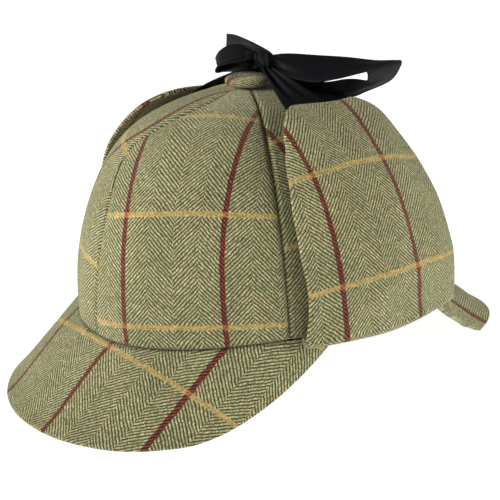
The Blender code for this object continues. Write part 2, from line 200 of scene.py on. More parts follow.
# How far steaming and pulling shifted each piece's cloth, in mm. "wide" and "high" are
# where its edges lie on the flat cloth, each row is a height from the lowest to the
# highest, and its columns run from the wearer's front or right to the rear or left.
PULLS = {
    "crown_panel_front_left": {
        "wide": (-60.0, 60.0), "high": (0.0, 150.0),
        "across": ((-3.0, -2.0, -0.5), (-3.5, -0.5, 3.0), (-0.5, 2.0, 3.5), (1.0, 5.0, 5.5)),
        "up": ((2.5, -1.5, 2.0), (3.0, 0.5, -2.0), (3.0, 1.5, -4.5)),
    },
    "crown_panel_front_right": {
        "wide": (-60.0, 60.0), "high": (0.0, 160.0),
        "across": ((0.0, 0.0), (0.5, 0.5), (-1.5, -1.0), (-11.5, -13.0), (7.5, 6.5)),
        "up": ((-1.0, -1.0), (-1.5, -1.5), (-6.5, -6.0)),
    },
    "crown_panel_side_left": {
        "wide": (-55.0, 0.0), "high": (0.0, 150.0),
        "across": ((-1.0, -1.0), (-1.5, -2.0), (0.5, 0.0)),
        "up": ((-3.5, -0.5), (-3.0, -1.0)),
    },
    "ear_flap_left": {
        "wide": (-60.0, 60.0), "high": (-55.0, 100.0),
        "across": ((3.5, -6.5, -10.0), (0.5, 0.0, -3.0), (-3.5, 1.0, 1.5), (-2.0, 0.0, 2.0)),
        "up": ((6.0, -1.0, -0.5), (1.0, 0.0, 1.0), (-7.0, 2.5, 2.0)),
    },
    "ear_flap_right": {
        "wide": (-60.0, 60.0), "high": (-55.0, 100.0),
        "across": ((5.0, 3.5), (9.5, 0.5), (-2.5, -6.0)),
        "up": ((0.0, 0.0), (0.0, 0.0)),
    },
    "front_peak": {
        "wide": (-90.0, 90.0), "high": (-20.0, 60.0),
        "across": ((-5.5, -1.5, -2.0), (-11.5, -3.5, -1.5), (-13.0, -8.0, -0.5)),
        "up": ((-2.0, -1.5, 2.0, 7.5), (-4.0, 1.0, 6.0, 14.5)),
    },
    "back_peak": {
        "wide": (0.0, 60.0), "high": (-8.0, 52.0),
        "across": ((0.0, -0.5), (2.0, 3.5)),
        "up": ((0.0, 0.0), (0.0, 0.0)),
    },
}

# The weave, counted in yarns.
COLUMN_YARNS = 24
RED_SPACING_YARNS = 96
GOLD_SPACING_YARNS = 102
RED_YARNS = 5
GOLD_YARNS = 5
STRIPE_EDGE_YARNS = 3     # where the twill turns back beside a red stripe
YARN_WAVER = 2.4          # how far yarns stray from straight, from one side to the other
WAVER_SCALE = 210.0       # how soon they stray, per metre
WEFT_WAVER_PLACE = (3.0, 5.0, 0.0)
SLUB_STRETCH = 0.22       # a slub's share of its own length that counts: less is longer
SLUB_SCALE = 0.83
WEFT_SLUB_PLACE = 37.0
SLUB_HEIGHT = 0.4         # how far slubs stand out, as a share of the yarns' ridges
NOISE_RANGE = (0.3, 0.7)  # the range of a noise that shades are spread over
WARP_SHADES = (0.62, 1.3)
WEFT_SHADES = (0.66, 1.4)
CROSSING_SHADES = (0.72, 1.28)
GOLD_OVER_WARP = 0.5      # how much of the gold yarn's colour shows on the warp over it
RED_OVER_WEFT = 0.6       # how much of it is lost under the red yarns
# Stray fibres: their size, the noise at which they come in, and how strong they get.
WARP_FLECK_SCALE = 0.31
WEFT_FLECK_SCALE = 0.27
RUSTY_FLECKS = (0.57, 0.67, 0.0, 0.5)
MOSSY_FLECKS = (0.45, 0.35, 0.0, 0.65)
GREEN_FLECKS = (0.50, 0.62, 0.0, 0.75)
RUSTY_FIBRE = (0.42, 0.28, 0.10, 1.0)
MOSSY_FIBRE = (0.24, 0.31, 0.15, 1.0)
GREEN_FIBRE = (0.062, 0.078, 0.028, 1.0)
RED_OVER_GOLD = (0.50, 0.13, 0.035, 1.0)
UNDER_RED = (0.15, 0.13, 0.18, 1.0)    # shade of the weft seen between red yarns
SEAM_SHADE_STRENGTH = 0.65      # how much the painted shade along seams and joints darkens the cloth
FADING_SCALE = 32.0       # how soon the whole cloth's shade changes, per metre
FADING_SHADES = (0.9, 1.1)

# The ribbon's ribs and satin's threads: scales are per metre, reliefs in metres.
RIB_THREAD_SCALE = 900.0
RIB_THREAD_HEIGHT = 0.25
RIB_TOP_HIGHLIGHT = 2.1           # painted highlight on the ribs' tops: how much paler it is, and how much of it shows
RIB_HIGHLIGHT_SHARE = 0.6
RIB_RELIEF = 0.00018
RIBBON_WEAR_SCALE = 140.0
RIBBON_ROUGHNESS = (0.55, 0.7)
SATIN_SCALE = 1500.0
SATIN_SHADES = (0.8, 1.25)
SATIN_RELIEF = 0.0001


# --- Settings that a user would change -------------------------------------------


def colour_setting(name, description, default):
    return FloatVectorProperty(
        name=name, description=description, default=(*default, 1.0), subtype="COLOR",
        size=4, min=0.0, max=1.0)


def length_setting(name, description, default, least, most):
    return FloatProperty(
        name=name, description=description, default=default, min=least, max=most,
        precision=6, unit="LENGTH")


class HatTweedSettings(bpy.types.PropertyGroup):
    """Colours and weave of the tweed."""
    light_yarn: colour_setting(
        "Light yarn", "Warp yarn, which makes the pale half of the herringbone",
        (0.432, 0.408, 0.220))
    dark_yarn: colour_setting(
        "Dark yarn", "Weft yarn, which makes the dark half of the herringbone",
        (0.066, 0.060, 0.020))
    red_yarn: colour_setting(
        "Red yarn", "Warp yarn of the upright stripes", (0.218, 0.045, 0.029))
    gold_yarn: colour_setting(
        "Gold yarn", "Weft yarn of the level stripes", (0.415, 0.277, 0.080))
    yarn_pitch: length_setting(
        "Yarn pitch", "Distance from one yarn to the next", 0.0005625, 0.0002, 0.002)
    relief: length_setting(
        "Weave relief", "How far the yarns stand out of the cloth", 0.00022, 0.0, 0.001)
    fuzz: FloatProperty(
        name="Fuzz", description="How much light the wool's loose fibres catch at a low angle",
        default=0.35, min=0.0, max=1.0, subtype="FACTOR")


class HatRibbonSettings(bpy.types.PropertyGroup):
    """Colour and weave of the ribbon and the lining."""
    ribbon_colour: colour_setting(
        "Ribbon colour", "Colour of the ribbed ribbon", (0.0016, 0.0019, 0.0026))
    lining_colour: colour_setting(
        "Lining colour", "Colour of the satin inside the crown", (0.035, 0.03, 0.02))
    rib_pitch: length_setting(
        "Rib pitch", "Distance from one rib of the ribbon to the next", 0.0009, 0.0003, 0.003)
    thickness: length_setting(
        "Ribbon thickness", "Thickness of the ribbon", 0.0006, 0.0003, 0.001)


class HatSewingSettings(bpy.types.PropertyGroup):
    """Thickness of the cloth, and the crown's seams."""
    wall: length_setting(
        "Crown wall", "Thickness of the crown's cloth with its lining", 0.002, 0.001, 0.003)
    seam_depth: length_setting(
        "Seam depth", "How deep the crown's seams pull in", 0.0014, 0.0, 0.002)
    seam_reach: length_setting(
        "Seam reach", "How far from a seam the cloth is pulled in", 0.0011, 0.0005, 0.006)
    peak_thickness: length_setting(
        "Peak thickness", "Thickness of the peaks, with their stiffening", 0.003, 0.001, 0.004)
    flap_thickness: length_setting(
        "Flap thickness", "Thickness of the ear flaps, two layers of tweed",
        0.003, 0.002, 0.004)


class HatStudioSettings(bpy.types.PropertyGroup):
    """Floor and light."""
    floor_colour: colour_setting(
        "Floor colour", "Colour of the studio's floor", (0.93, 0.93, 0.93))
    key_power: FloatProperty(
        name="Key light", description="Power of the large soft light on the hat's front",
        default=28.4, min=0.0, max=100.0, unit="POWER")
    sky_strength: FloatProperty(
        name="Surrounding light", description="Strength of the white light from all round",
        default=0.32, min=0.0, max=5.0)


# --- Form -------------------------------------------------------------------------


def within(value, low=0.0, high=1.0):
    """The nearest value between two limits."""
    return min(max(value, low), high)


def smooth_share(value):
    """Ease a share from 0 to 1, flat at both ends."""
    value = within(value)
    return value * value * (3.0 - 2.0 * value)


def blend(start, end, share):
    return start + (end - start) * share


def bump_at(value, centre, reach):
    """A smooth hill of height 1 over a centre."""
    return exp(-((value - centre) / reach) ** 2)


def crowd_ends(share, crowding=0.7):
    """Move a share towards the ends, so that a grid is finer there."""
    return share - crowding * sin(2.0 * pi * share) / (2.0 * pi)


def round_edge(distance, radius):
    """Share of a sheet's thickness at a distance from its rounded edge."""
    inside = 1.0 - within(distance / radius)
    return sqrt(max(1.0 - inside * inside, 0.0))


def in_place(point):
    """From millimetres over the rim's level to metres over the floor."""
    return (point - Vector((0.0, MIDDLE, -RIM_LEVEL))) * MM


def rim_height(turn):
    return RIM_MEAN + RIM_TILT * cos(turn) + RIM_SADDLE * cos(2.0 * turn)


def crown_spread(climb):
    """Size of the crown's level outline at a height, as a share of the rim's."""
    return max(cos(climb * pi / 2.0), 0.0) ** (2.0 / SHOULDER_OUT)


def crown_point(turn, climb):
    """Outer face of the crown: turn from the front, climb 0 at the rim to 1 on top."""
    spread = crown_spread(climb)
    lift = max(sin(climb * pi / 2.0), 0.0) ** (2.0 / SHOULDER_UP)
    return Vector((
        HALF_WIDTH * sin(turn) * spread,
        -HALF_LENGTH * cos(turn) * spread - APEX_FORWARD * lift,
        blend(rim_height(turn), CROWN_RISE, lift),
    ))


def surface_normal(surface, across, along, step=SLOPE_STEP):
    """Unit normal of a surface function, by central differences."""
    step_across = surface(across + step, along) - surface(across - step, along)
    step_along = surface(across, along + step) - surface(across, along - step)
    return step_across.cross(step_along).normalized()


def crown_normal(turn, climb):
    return surface_normal(crown_point, turn, max(climb, LOWEST_CLIMB))


def off_crown(turn, climb, standoff):
    """A point at a distance from the crown's outer face."""
    return crown_point(turn, climb) + crown_normal(turn, climb) * standoff


def along_curve(points, share):
    """Smooth curve through points: Catmull-Rom, with the ends carried straight on."""
    place = share * (len(points) - 1)
    index = within(int(place), 0, len(points) - 2)
    local = place - index
    start, end = points[index], points[index + 1]
    before = points[index - 1] if index > 0 else start * 2.0 - end
    after = points[index + 2] if index + 2 < len(points) else end * 2.0 - start
    return 0.5 * (
        start * 2.0 + (end - before) * local
        + (before * 2.0 - start * 5.0 + end * 4.0 - after) * local ** 2
        + (start * 3.0 - before - end * 3.0 + after) * local ** 3
    )


class FlatPattern:
    """Where a curved wall's points lie on the flat cloth it was cut from, in mm.

    Across is the level distance from the middle upright, up is the distance along that
    upright from the rim, with the level rings bent as they lie when the wall is flat.
    """
    TURNS = 36
    CLIMBS = 60

    def __init__(self, surface, first_turn, last_turn, top_climb):
        self.first = first_turn
        self.step = (last_turn - first_turn) / self.TURNS
        self.low = LOWEST_CLIMB
        self.climb_step = (top_climb - self.low) / self.CLIMBS
        centre = self.TURNS // 2
        self.across = []
        self.up = [0.0]
        rows = []
        for row in range(self.CLIMBS + 1):
            climb = self.low + row * self.climb_step
            rows.append([
                surface(self.first + column * self.step, climb)
                for column in range(self.TURNS + 1)
            ])
        for row in rows:
            lengths = [0.0]
            for here, after in zip(row, row[1:]):
                lengths.append(lengths[-1] + (after - here).xy.length)
            self.across.append([length - lengths[centre] for length in lengths])
        for here, after in zip(rows, rows[1:]):
            self.up.append(self.up[-1] + (after[centre] - here[centre]).length)
        widths = [row[-1] - row[0] for row in self.across]
        self.bend = []
        for row in range(self.CLIMBS + 1):
            low, high = max(row - 1, 0), min(row + 1, self.CLIMBS)
            narrowing = (widths[low] - widths[high]) / (self.up[high] - self.up[low])
            self.bend.append(narrowing / widths[row])

    def level(self, turn, climb):
        """Level distance from the middle upright."""
        return self.read(turn, climb)[0]

    def read(self, turn, climb):
        """Level distance, distance up and bend of the level ring."""
        column = within((turn - self.first) / self.step, 0.0, self.TURNS)
        row = within((climb - self.low) / self.climb_step, 0.0, self.CLIMBS)
        left, below = min(int(column), self.TURNS - 1), min(int(row), self.CLIMBS - 1)
        aside, above = column - left, row - below
        across = blend(
            blend(self.across[below][left], self.across[below][left + 1], aside),
            blend(self.across[below + 1][left], self.across[below + 1][left + 1], aside),
            above,
        )
        up = blend(self.up[below], self.up[below + 1], above)
        return across, up, blend(self.bend[below], self.bend[below + 1], above)

    def at(self, turn, climb):
        """Place on the flat cloth."""
        across, up, bend = self.read(turn, climb)
        if abs(bend) < LEAST_BEND:
            return across, up
        return sin(bend * across) / bend, up + (1.0 - cos(bend * across)) / bend


def pulled(across, up, piece):
    """Shift a place on the flat cloth by what a piece's cloth was pulled."""
    pull = PULLS.get(piece)
    if pull is None:
        return across, up
    shares = [
        within((value - low) / (high - low))
        for value, (low, high) in ((across, pull["wide"]), (up, pull["high"]))
    ]
    shifts = [
        along_curve([along_curve(row, shares[0]) for row in pull[way]], shares[1])
        for way in ("across", "up")
    ]
    return across + shifts[0], up + shifts[1]


def face_outwards(body):
    """Point the faces of a closed body outwards."""
    bmesh.ops.recalc_face_normals(body, faces=body.faces[:])
    if body.calc_volume(signed=True) < 0.0:
        bmesh.ops.reverse_faces(body, faces=body.faces[:])


def lay_on_cloth(body, uv_layer, flat):
    """Write the vertices' places on the flat cloth, in mm, into a body's UV map."""
    for face in body.faces:
        for loop in face.loops:
            loop[uv_layer].uv = Vector(flat[loop.vert]) * MM


def mesh_from(name, body):
    """A mesh from a bmesh, which is let go."""
    mesh = bpy.data.meshes.new(name)
    body.to_mesh(mesh)
    body.free()
    return mesh


def sheet_body(middle, half_thickness, cloth, grid, crowding=(0.0, 0.0), seam=None):
    """A closed sheet of cloth.

    middle(across, along) gives a point halfway through the sheet and the direction
    out of it, half_thickness(across, along) the distance from there to either face,
    and cloth(across, along) the place on the flat cloth, all in mm; grid is how many
    faces there are across and along, and crowding how much finer its edges are. Where the
    thickness is 0 at an edge, the two faces meet in a rounded roll. seam(across, along)
    says how much painted shade a point takes, from 0 to 1, by how near it lies to a seam
    or joint; it is kept in the "seam" attribute.
    """
    sheet = bmesh.new()
    seam_shade_layer = sheet.verts.layers.float.new("seam")
    uv_layer = sheet.loops.layers.uv.new("cloth")
    bmesh.ops.create_grid(sheet, x_segments=grid[0], y_segments=grid[1], size=0.5)
    grown = bmesh.ops.extrude_face_region(sheet, geom=sheet.faces[:])
    inner = {part for part in grown["geom"] if isinstance(part, bmesh.types.BMVert)}
    flat = {}
    for vert in sheet.verts:
        across = crowd_ends(vert.co.x + 0.5, crowding[0])
        along = crowd_ends(vert.co.y + 0.5, crowding[1])
        point, out = middle(across, along)
        half = half_thickness(across, along)
        vert.co = in_place(point + out * (-half if vert in inner else half))
        flat[vert] = cloth(across, along)
        # Painted shade along seams and joints, read by the tweed's material.
        vert[seam_shade_layer] = seam(across, along) if seam else 0.0
    lay_on_cloth(sheet, uv_layer, flat)
    for face in sheet.faces:
        face.material_index = int(all(vert in inner for vert in face.verts))
    bmesh.ops.remove_doubles(sheet, verts=sheet.verts[:], dist=1e-6)
    face_outwards(sheet)
    return sheet


# --- Materials --------------------------------------------------------------------


class Nodes:
    """Adds nodes to the tree of a material, a group or the world."""

    def __init__(self, tree):
        self.tree = tree

    def feed(self, sockets, fed):
        """Link sockets, by name or number, to outputs, or give them plain values."""
        for socket, value in fed.items():
            if isinstance(value, bpy.types.NodeSocket):
                self.tree.links.new(value, sockets[socket])
            else:
                sockets[socket].default_value = value

    def new(self, kind, fed=None, **settings):
        """A node, with its sockets fed by name or number; its outputs are returned."""
        made = self.tree.nodes.new(kind)
        for setting, value in settings.items():
            setattr(made, setting, value)
        self.feed(made.inputs, fed or {})
        return made.outputs

    def calculate(self, operation, *values):
        """A Math node over values or outputs."""
        return self.new("ShaderNodeMath", dict(enumerate(values)), operation=operation)[0]

    def mix(self, factor, first, second, blend_type="MIX"):
        """A mix of two colours."""
        return self.new(
            "ShaderNodeMix", {0: factor, 6: first, 7: second},
            data_type="RGBA", blend_type=blend_type)[2]

    def shade(self, colour, amount):
        """A colour multiplied by an amount or another colour."""
        return self.mix(1.0, colour, amount, "MULTIPLY")

    def combine(self, x, y, z=0.0):
        return self.new("ShaderNodeCombineXYZ", {0: x, 1: y, 2: z})[0]

    def noise(self, vector, scale, detail=2.0):
        fed = {"Vector": vector, "Scale": scale, "Detail": detail}
        return self.new("ShaderNodeTexNoise", fed, noise_dimensions="3D")["Fac"]

    def spread(self, value, low, high, to_low=0.0, to_high=1.0):
        """A value's range turned smoothly into another."""
        fed = {
            "Value": value, "From Min": low, "From Max": high,
            "To Min": to_low, "To Max": to_high,
        }
        return self.new("ShaderNodeMapRange", fed, interpolation_type="SMOOTHSTEP")["Result"]

    def cloth(self):
        """The place on the flat cloth, in metres."""
        return self.new("ShaderNodeUVMap", uv_map="cloth")[0]

    def relief(self, height, strength, distance):
        """A normal turned by a relief."""
        fed = {"Strength": strength, "Distance": distance, "Height": height}
        return self.new("ShaderNodeBump", fed)[0]


def herringbone_group():
    """Herringbone with a windowpane check, from a place on the flat cloth in metres."""
    tree = bpy.data.node_groups.new("Herringbone windowpane", "ShaderNodeTree")
    for name, in_out, kind in (
        ("Cloth", "INPUT", "Vector"), ("Yarn Pitch", "INPUT", "Float"),
        ("Light Yarn", "INPUT", "Color"), ("Dark Yarn", "INPUT", "Color"),
        ("Red Yarn", "INPUT", "Color"), ("Gold Yarn", "INPUT", "Color"),
        ("Colour", "OUTPUT", "Color"), ("Height", "OUTPUT", "Float"),
    ):
        tree.interface.new_socket(name, in_out=in_out, socket_type=f"NodeSocket{kind}")
    nodes = Nodes(tree)
    calculate, mix = nodes.calculate, nodes.mix
    given = nodes.new("NodeGroupInput")
    wanted = tree.nodes.new("NodeGroupOutput").inputs
    place = nodes.new("ShaderNodeSeparateXYZ", {0: given["Cloth"]})
    elsewhere = nodes.new(
        "ShaderNodeVectorMath", {0: given["Cloth"], 1: WEFT_WAVER_PLACE}, operation="ADD")[0]

    def in_yarns(distance, waver_place):
        """A distance counted in yarns, which stray a little from straight."""
        waver = nodes.noise(waver_place, WAVER_SCALE)
        straight = calculate("DIVIDE", distance, given["Yarn Pitch"])
        strayed = calculate("MULTIPLY_ADD", waver, YARN_WAVER, straight)
        return calculate("SUBTRACT", strayed, 0.5 * YARN_WAVER)

    warp_place = in_yarns(place["X"], given["Cloth"])
    weft_place = in_yarns(place["Y"], elsewhere)
    warp_number = calculate("FLOOR", warp_place)
    weft_number = calculate("FLOOR", weft_place)
    warp_middle = calculate("ADD", warp_number, 0.5)
    weft_middle = calculate("ADD", weft_number, 0.5)

    # The twill line turns back at the right edge of a red stripe, and again every column,
    # with the half break that the reversals of a woven herringbone have.
    turned = calculate("SUBTRACT", warp_middle, float(STRIPE_EDGE_YARNS))
    zigzag = calculate("PINGPONG", turned, float(COLUMN_YARNS))
    column = calculate("FLOOR", calculate("DIVIDE", turned, float(COLUMN_YARNS)))
    odd_column = calculate("PINGPONG", column, 1.0)
    line = calculate("SUBTRACT", weft_number, calculate("SUBTRACT", zigzag, 0.5))
    line = calculate("MULTIPLY_ADD", odd_column, 2.0, line)
    step = calculate("WRAP", calculate("ADD", line, 0.25), 4.0, 0.0)
    warp_up = calculate("LESS_THAN", step, 2.0)

    # Every yarn has its own shade, and slubs along its length.
    warp_key = nodes.combine(warp_middle, calculate("MULTIPLY", weft_place, SLUB_STRETCH))
    weft_key = nodes.combine(
        calculate("MULTIPLY", warp_place, SLUB_STRETCH), weft_middle, WEFT_SLUB_PLACE)
    warp_slub = nodes.noise(warp_key, SLUB_SCALE, 1.0)
    weft_slub = nodes.noise(weft_key, SLUB_SCALE, 1.0)
    warp_shade = nodes.spread(warp_slub, *NOISE_RANGE, *WARP_SHADES)
    weft_shade = nodes.spread(weft_slub, *NOISE_RANGE, *WEFT_SHADES)

    def stripe(number, spacing, yarns):
        """1 on the yarns of a stripe, 0 on the others."""
        from_stripe = calculate("WRAP", number, spacing / 2.0, -spacing / 2.0)
        return calculate("LESS_THAN", calculate("ABSOLUTE", from_stripe), 0.5 * yarns + 0.1)

    red_here = stripe(warp_number, RED_SPACING_YARNS, RED_YARNS)
    gold_here = stripe(weft_number, GOLD_SPACING_YARNS, GOLD_YARNS)

    # Stray fibres of green, ochre and rust in the ground yarns.
    fleck = nodes.noise(warp_key, WARP_FLECK_SCALE)
    rusty = nodes.spread(fleck, *RUSTY_FLECKS)
    mossy = nodes.spread(fleck, *MOSSY_FLECKS)
    green = nodes.spread(nodes.noise(weft_key, WEFT_FLECK_SCALE), *GREEN_FLECKS)
    light = mix(mossy, mix(rusty, given["Light Yarn"], RUSTY_FIBRE), MOSSY_FIBRE)
    dark = mix(green, given["Dark Yarn"], GREEN_FIBRE)

    # The thick stripe yarns crowd out the yarns that cross them.
    warp_colour = mix(red_here, light, given["Red Yarn"])
    gold_seen = calculate("MULTIPLY", gold_here, GOLD_OVER_WARP)
    warp_colour = mix(gold_seen, warp_colour, given["Gold Yarn"])
    crossing = calculate("MULTIPLY", red_here, gold_here)
    warp_colour = mix(crossing, warp_colour, RED_OVER_GOLD)
    weft_colour = mix(red_here, dark, nodes.shade(given["Red Yarn"], UNDER_RED))
    gold_share = calculate("MULTIPLY_ADD", red_here, -RED_OVER_WEFT, 1.0)
    weft_colour = mix(
        calculate("MULTIPLY", gold_here, gold_share), weft_colour, given["Gold Yarn"])
    woven = mix(
        warp_up, nodes.shade(weft_colour, weft_shade), nodes.shade(warp_colour, warp_shade))

    # Each crossing of two yarns is lit a little differently.
    crossing_key = nodes.combine(warp_middle, weft_middle)
    pick = nodes.new(
        "ShaderNodeTexWhiteNoise", {"Vector": crossing_key}, noise_dimensions="2D")["Value"]
    least, most = CROSSING_SHADES
    uneven = calculate("MULTIPLY_ADD", pick, most - least, least)
    colour = nodes.shade(woven, uneven)

    def ridge(position):
        """Round back of a yarn: 1 along its middle, 0 between two yarns."""
        offset = calculate("SUBTRACT", calculate("FRACT", position), 0.5)
        return calculate("MULTIPLY_ADD", calculate("MULTIPLY", offset, offset), -4.0, 1.0)

    height = nodes.new(
        "ShaderNodeMix", {0: warp_up, 2: ridge(weft_place), 3: ridge(warp_place)},
        data_type="FLOAT")[0]
    height = calculate("MULTIPLY_ADD", warp_slub, SLUB_HEIGHT, height)
    nodes.feed(wanted, {"Colour": colour, "Height": height})
    return tree


def new_material(name):
    """A new material, its nodes and its shader's sockets."""
    material = bpy.data.materials.new(name)
    material.use_nodes = True
    tree = material.node_tree
    return material, Nodes(tree), tree.nodes["Principled BSDF"].inputs


def tweed_material(scene, name):
    """Wool tweed on the pieces' flat cloth."""
    look = scene.hat_tweed
    material, nodes, surface = new_material(name)
    weave = nodes.new("ShaderNodeGroup", {
        "Cloth": nodes.cloth(), "Yarn Pitch": look.yarn_pitch,
        "Light Yarn": look.light_yarn, "Dark Yarn": look.dark_yarn,
        "Red Yarn": look.red_yarn, "Gold Yarn": look.gold_yarn,
    }, node_tree=herringbone_group())
    solid = nodes.new("ShaderNodeTexCoord")["Object"]
    fading = nodes.spread(
        nodes.noise(solid, FADING_SCALE, 3.0), *NOISE_RANGE, *FADING_SHADES)
    # Painted shade: the cloth drawn into the seams, and along the crown's rim and the front
    # peak's root, is darkened where shadow falls.
    seam = nodes.new("ShaderNodeAttribute", attribute_name="seam")["Fac"]
    painted_seam_shade = nodes.calculate("MULTIPLY_ADD", seam, -SEAM_SHADE_STRENGTH, 1.0)
    colour = nodes.shade(nodes.shade(weave["Colour"], fading), painted_seam_shade)
    nodes.feed(surface, {
        "Base Color": colour,
        "Normal": nodes.relief(weave["Height"], 0.6, look.relief),
        "Roughness": 0.92,
        "Specular IOR Level": 0.2,
        "Sheen Weight": look.fuzz,
        "Sheen Roughness": 0.45,
        "Sheen Tint": (0.86, 0.84, 0.62, 1.0),
    })
    return material


def ribbon_material(scene, name):
    """Ribbed black ribbon: ribs across its length, with a painted highlight on their tops."""
    look = scene.hat_ribbon
    material, nodes, surface = new_material(name)
    cloth = nodes.cloth()
    along = nodes.new("ShaderNodeSeparateXYZ", {0: cloth})["Y"]
    rib = nodes.calculate("DIVIDE", along, look.rib_pitch)
    wave = nodes.calculate("SINE", nodes.calculate("MULTIPLY", rib, 2.0 * pi))
    height = nodes.calculate("MULTIPLY_ADD", wave, 0.5, 0.5)
    height = nodes.calculate(
        "MULTIPLY_ADD", nodes.noise(cloth, RIB_THREAD_SCALE), RIB_THREAD_HEIGHT, height)
    # Painted highlight: the ribs' tops are paler, as if lit.
    pale = [min(channel * RIB_TOP_HIGHLIGHT, 1.0) for channel in look.ribbon_colour[:3]] + [1.0]
    rib_highlight = nodes.calculate("MULTIPLY", height, RIB_HIGHLIGHT_SHARE)
    wear = nodes.noise(cloth, RIBBON_WEAR_SCALE, 3.0)
    nodes.feed(surface, {
        "Base Color": nodes.mix(rib_highlight, look.ribbon_colour, pale),
        "Normal": nodes.relief(height, 0.5, RIB_RELIEF),
        "Roughness": nodes.spread(wear, *NOISE_RANGE, *RIBBON_ROUGHNESS),
        "Specular IOR Level": 0.2,
    })
    return material


def lining_material(scene, name):
    """Dark satin inside the crown."""
    material, nodes, surface = new_material(name)
    threads = nodes.noise(nodes.cloth(), SATIN_SCALE)
    shade = nodes.spread(threads, *NOISE_RANGE, *SATIN_SHADES)
    nodes.feed(surface, {
        "Base Color": nodes.shade(scene.hat_ribbon.lining_colour, shade),
        "Normal": nodes.relief(threads, 0.3, SATIN_RELIEF),
        "Roughness": 0.4,
    })
    return material


TWEED, RIBBON, LINING = "windowpane_tweed", "ribbed_ribbon", "satin_lining"
MATERIALS = {TWEED: tweed_material, RIBBON: ribbon_material, LINING: lining_material}


def add_piece(context, kind, node, body, materials):
    """Turn a bmesh into a named piece that stands for a node of the frame."""
    name = f"{kind}_{node}"
    mesh = mesh_from(name, body)
    mesh.shade_smooth()
    for material in materials:
        made = bpy.data.materials.get(material)
        mesh.materials.append(made or MATERIALS[material](context.scene, material))
    piece = bpy.data.objects.new(name, mesh)
    context.collection.objects.link(piece)
    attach(piece, BODY)
    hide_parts(node)
    return piece


# --- Crown ------------------------------------------------------------------------


PATTERN_MARGIN = radians(24.0)
TIP_CLIMB = 2.0 / pi * atan2(
    sqrt(1.0 - (CROWN_TIP / HALF_WIDTH) ** SHOULDER_OUT),
    (CROWN_TIP / HALF_WIDTH) ** (SHOULDER_OUT / 2.0),
)
PANEL_GRID = (48, 80)
TIP_CALM = 0.12           # how far below the tip, in climb, the cloth's relief ends
RIM_DROP = 0.8            # how far the panels' lower edge reaches below its solid's
RIM_DROP_REACH = 3.0      # how far above that edge the drop ends
RIM_ROLL = 0.8            # radius of that edge's roll
RIM_THINNEST = 0.15       # what is left of the thickness there
FRONT_SEAM_SHARE = 0.6    # depth of the front seam, as a share of the others'
# Painted shade along the seams and the rim: how strong it is, and how far from them it reaches,
# in mm.
FRONT_SEAM_SHADE = 0.3
RIM_SHADE = 0.55
RIM_SHADE_REACH = 0.8
SEAM_SHADE_REACH = 0.45
# The panels' relief: its height and how far it reaches or how large it is, in mm.
FULLNESS = {"height": 0.45, "reach": 16.0}
PUCKER = {"height": 0.22, "reach": 8.0, "size": 7.0}
WAVE = {"height": 0.5, "size": 34.0}


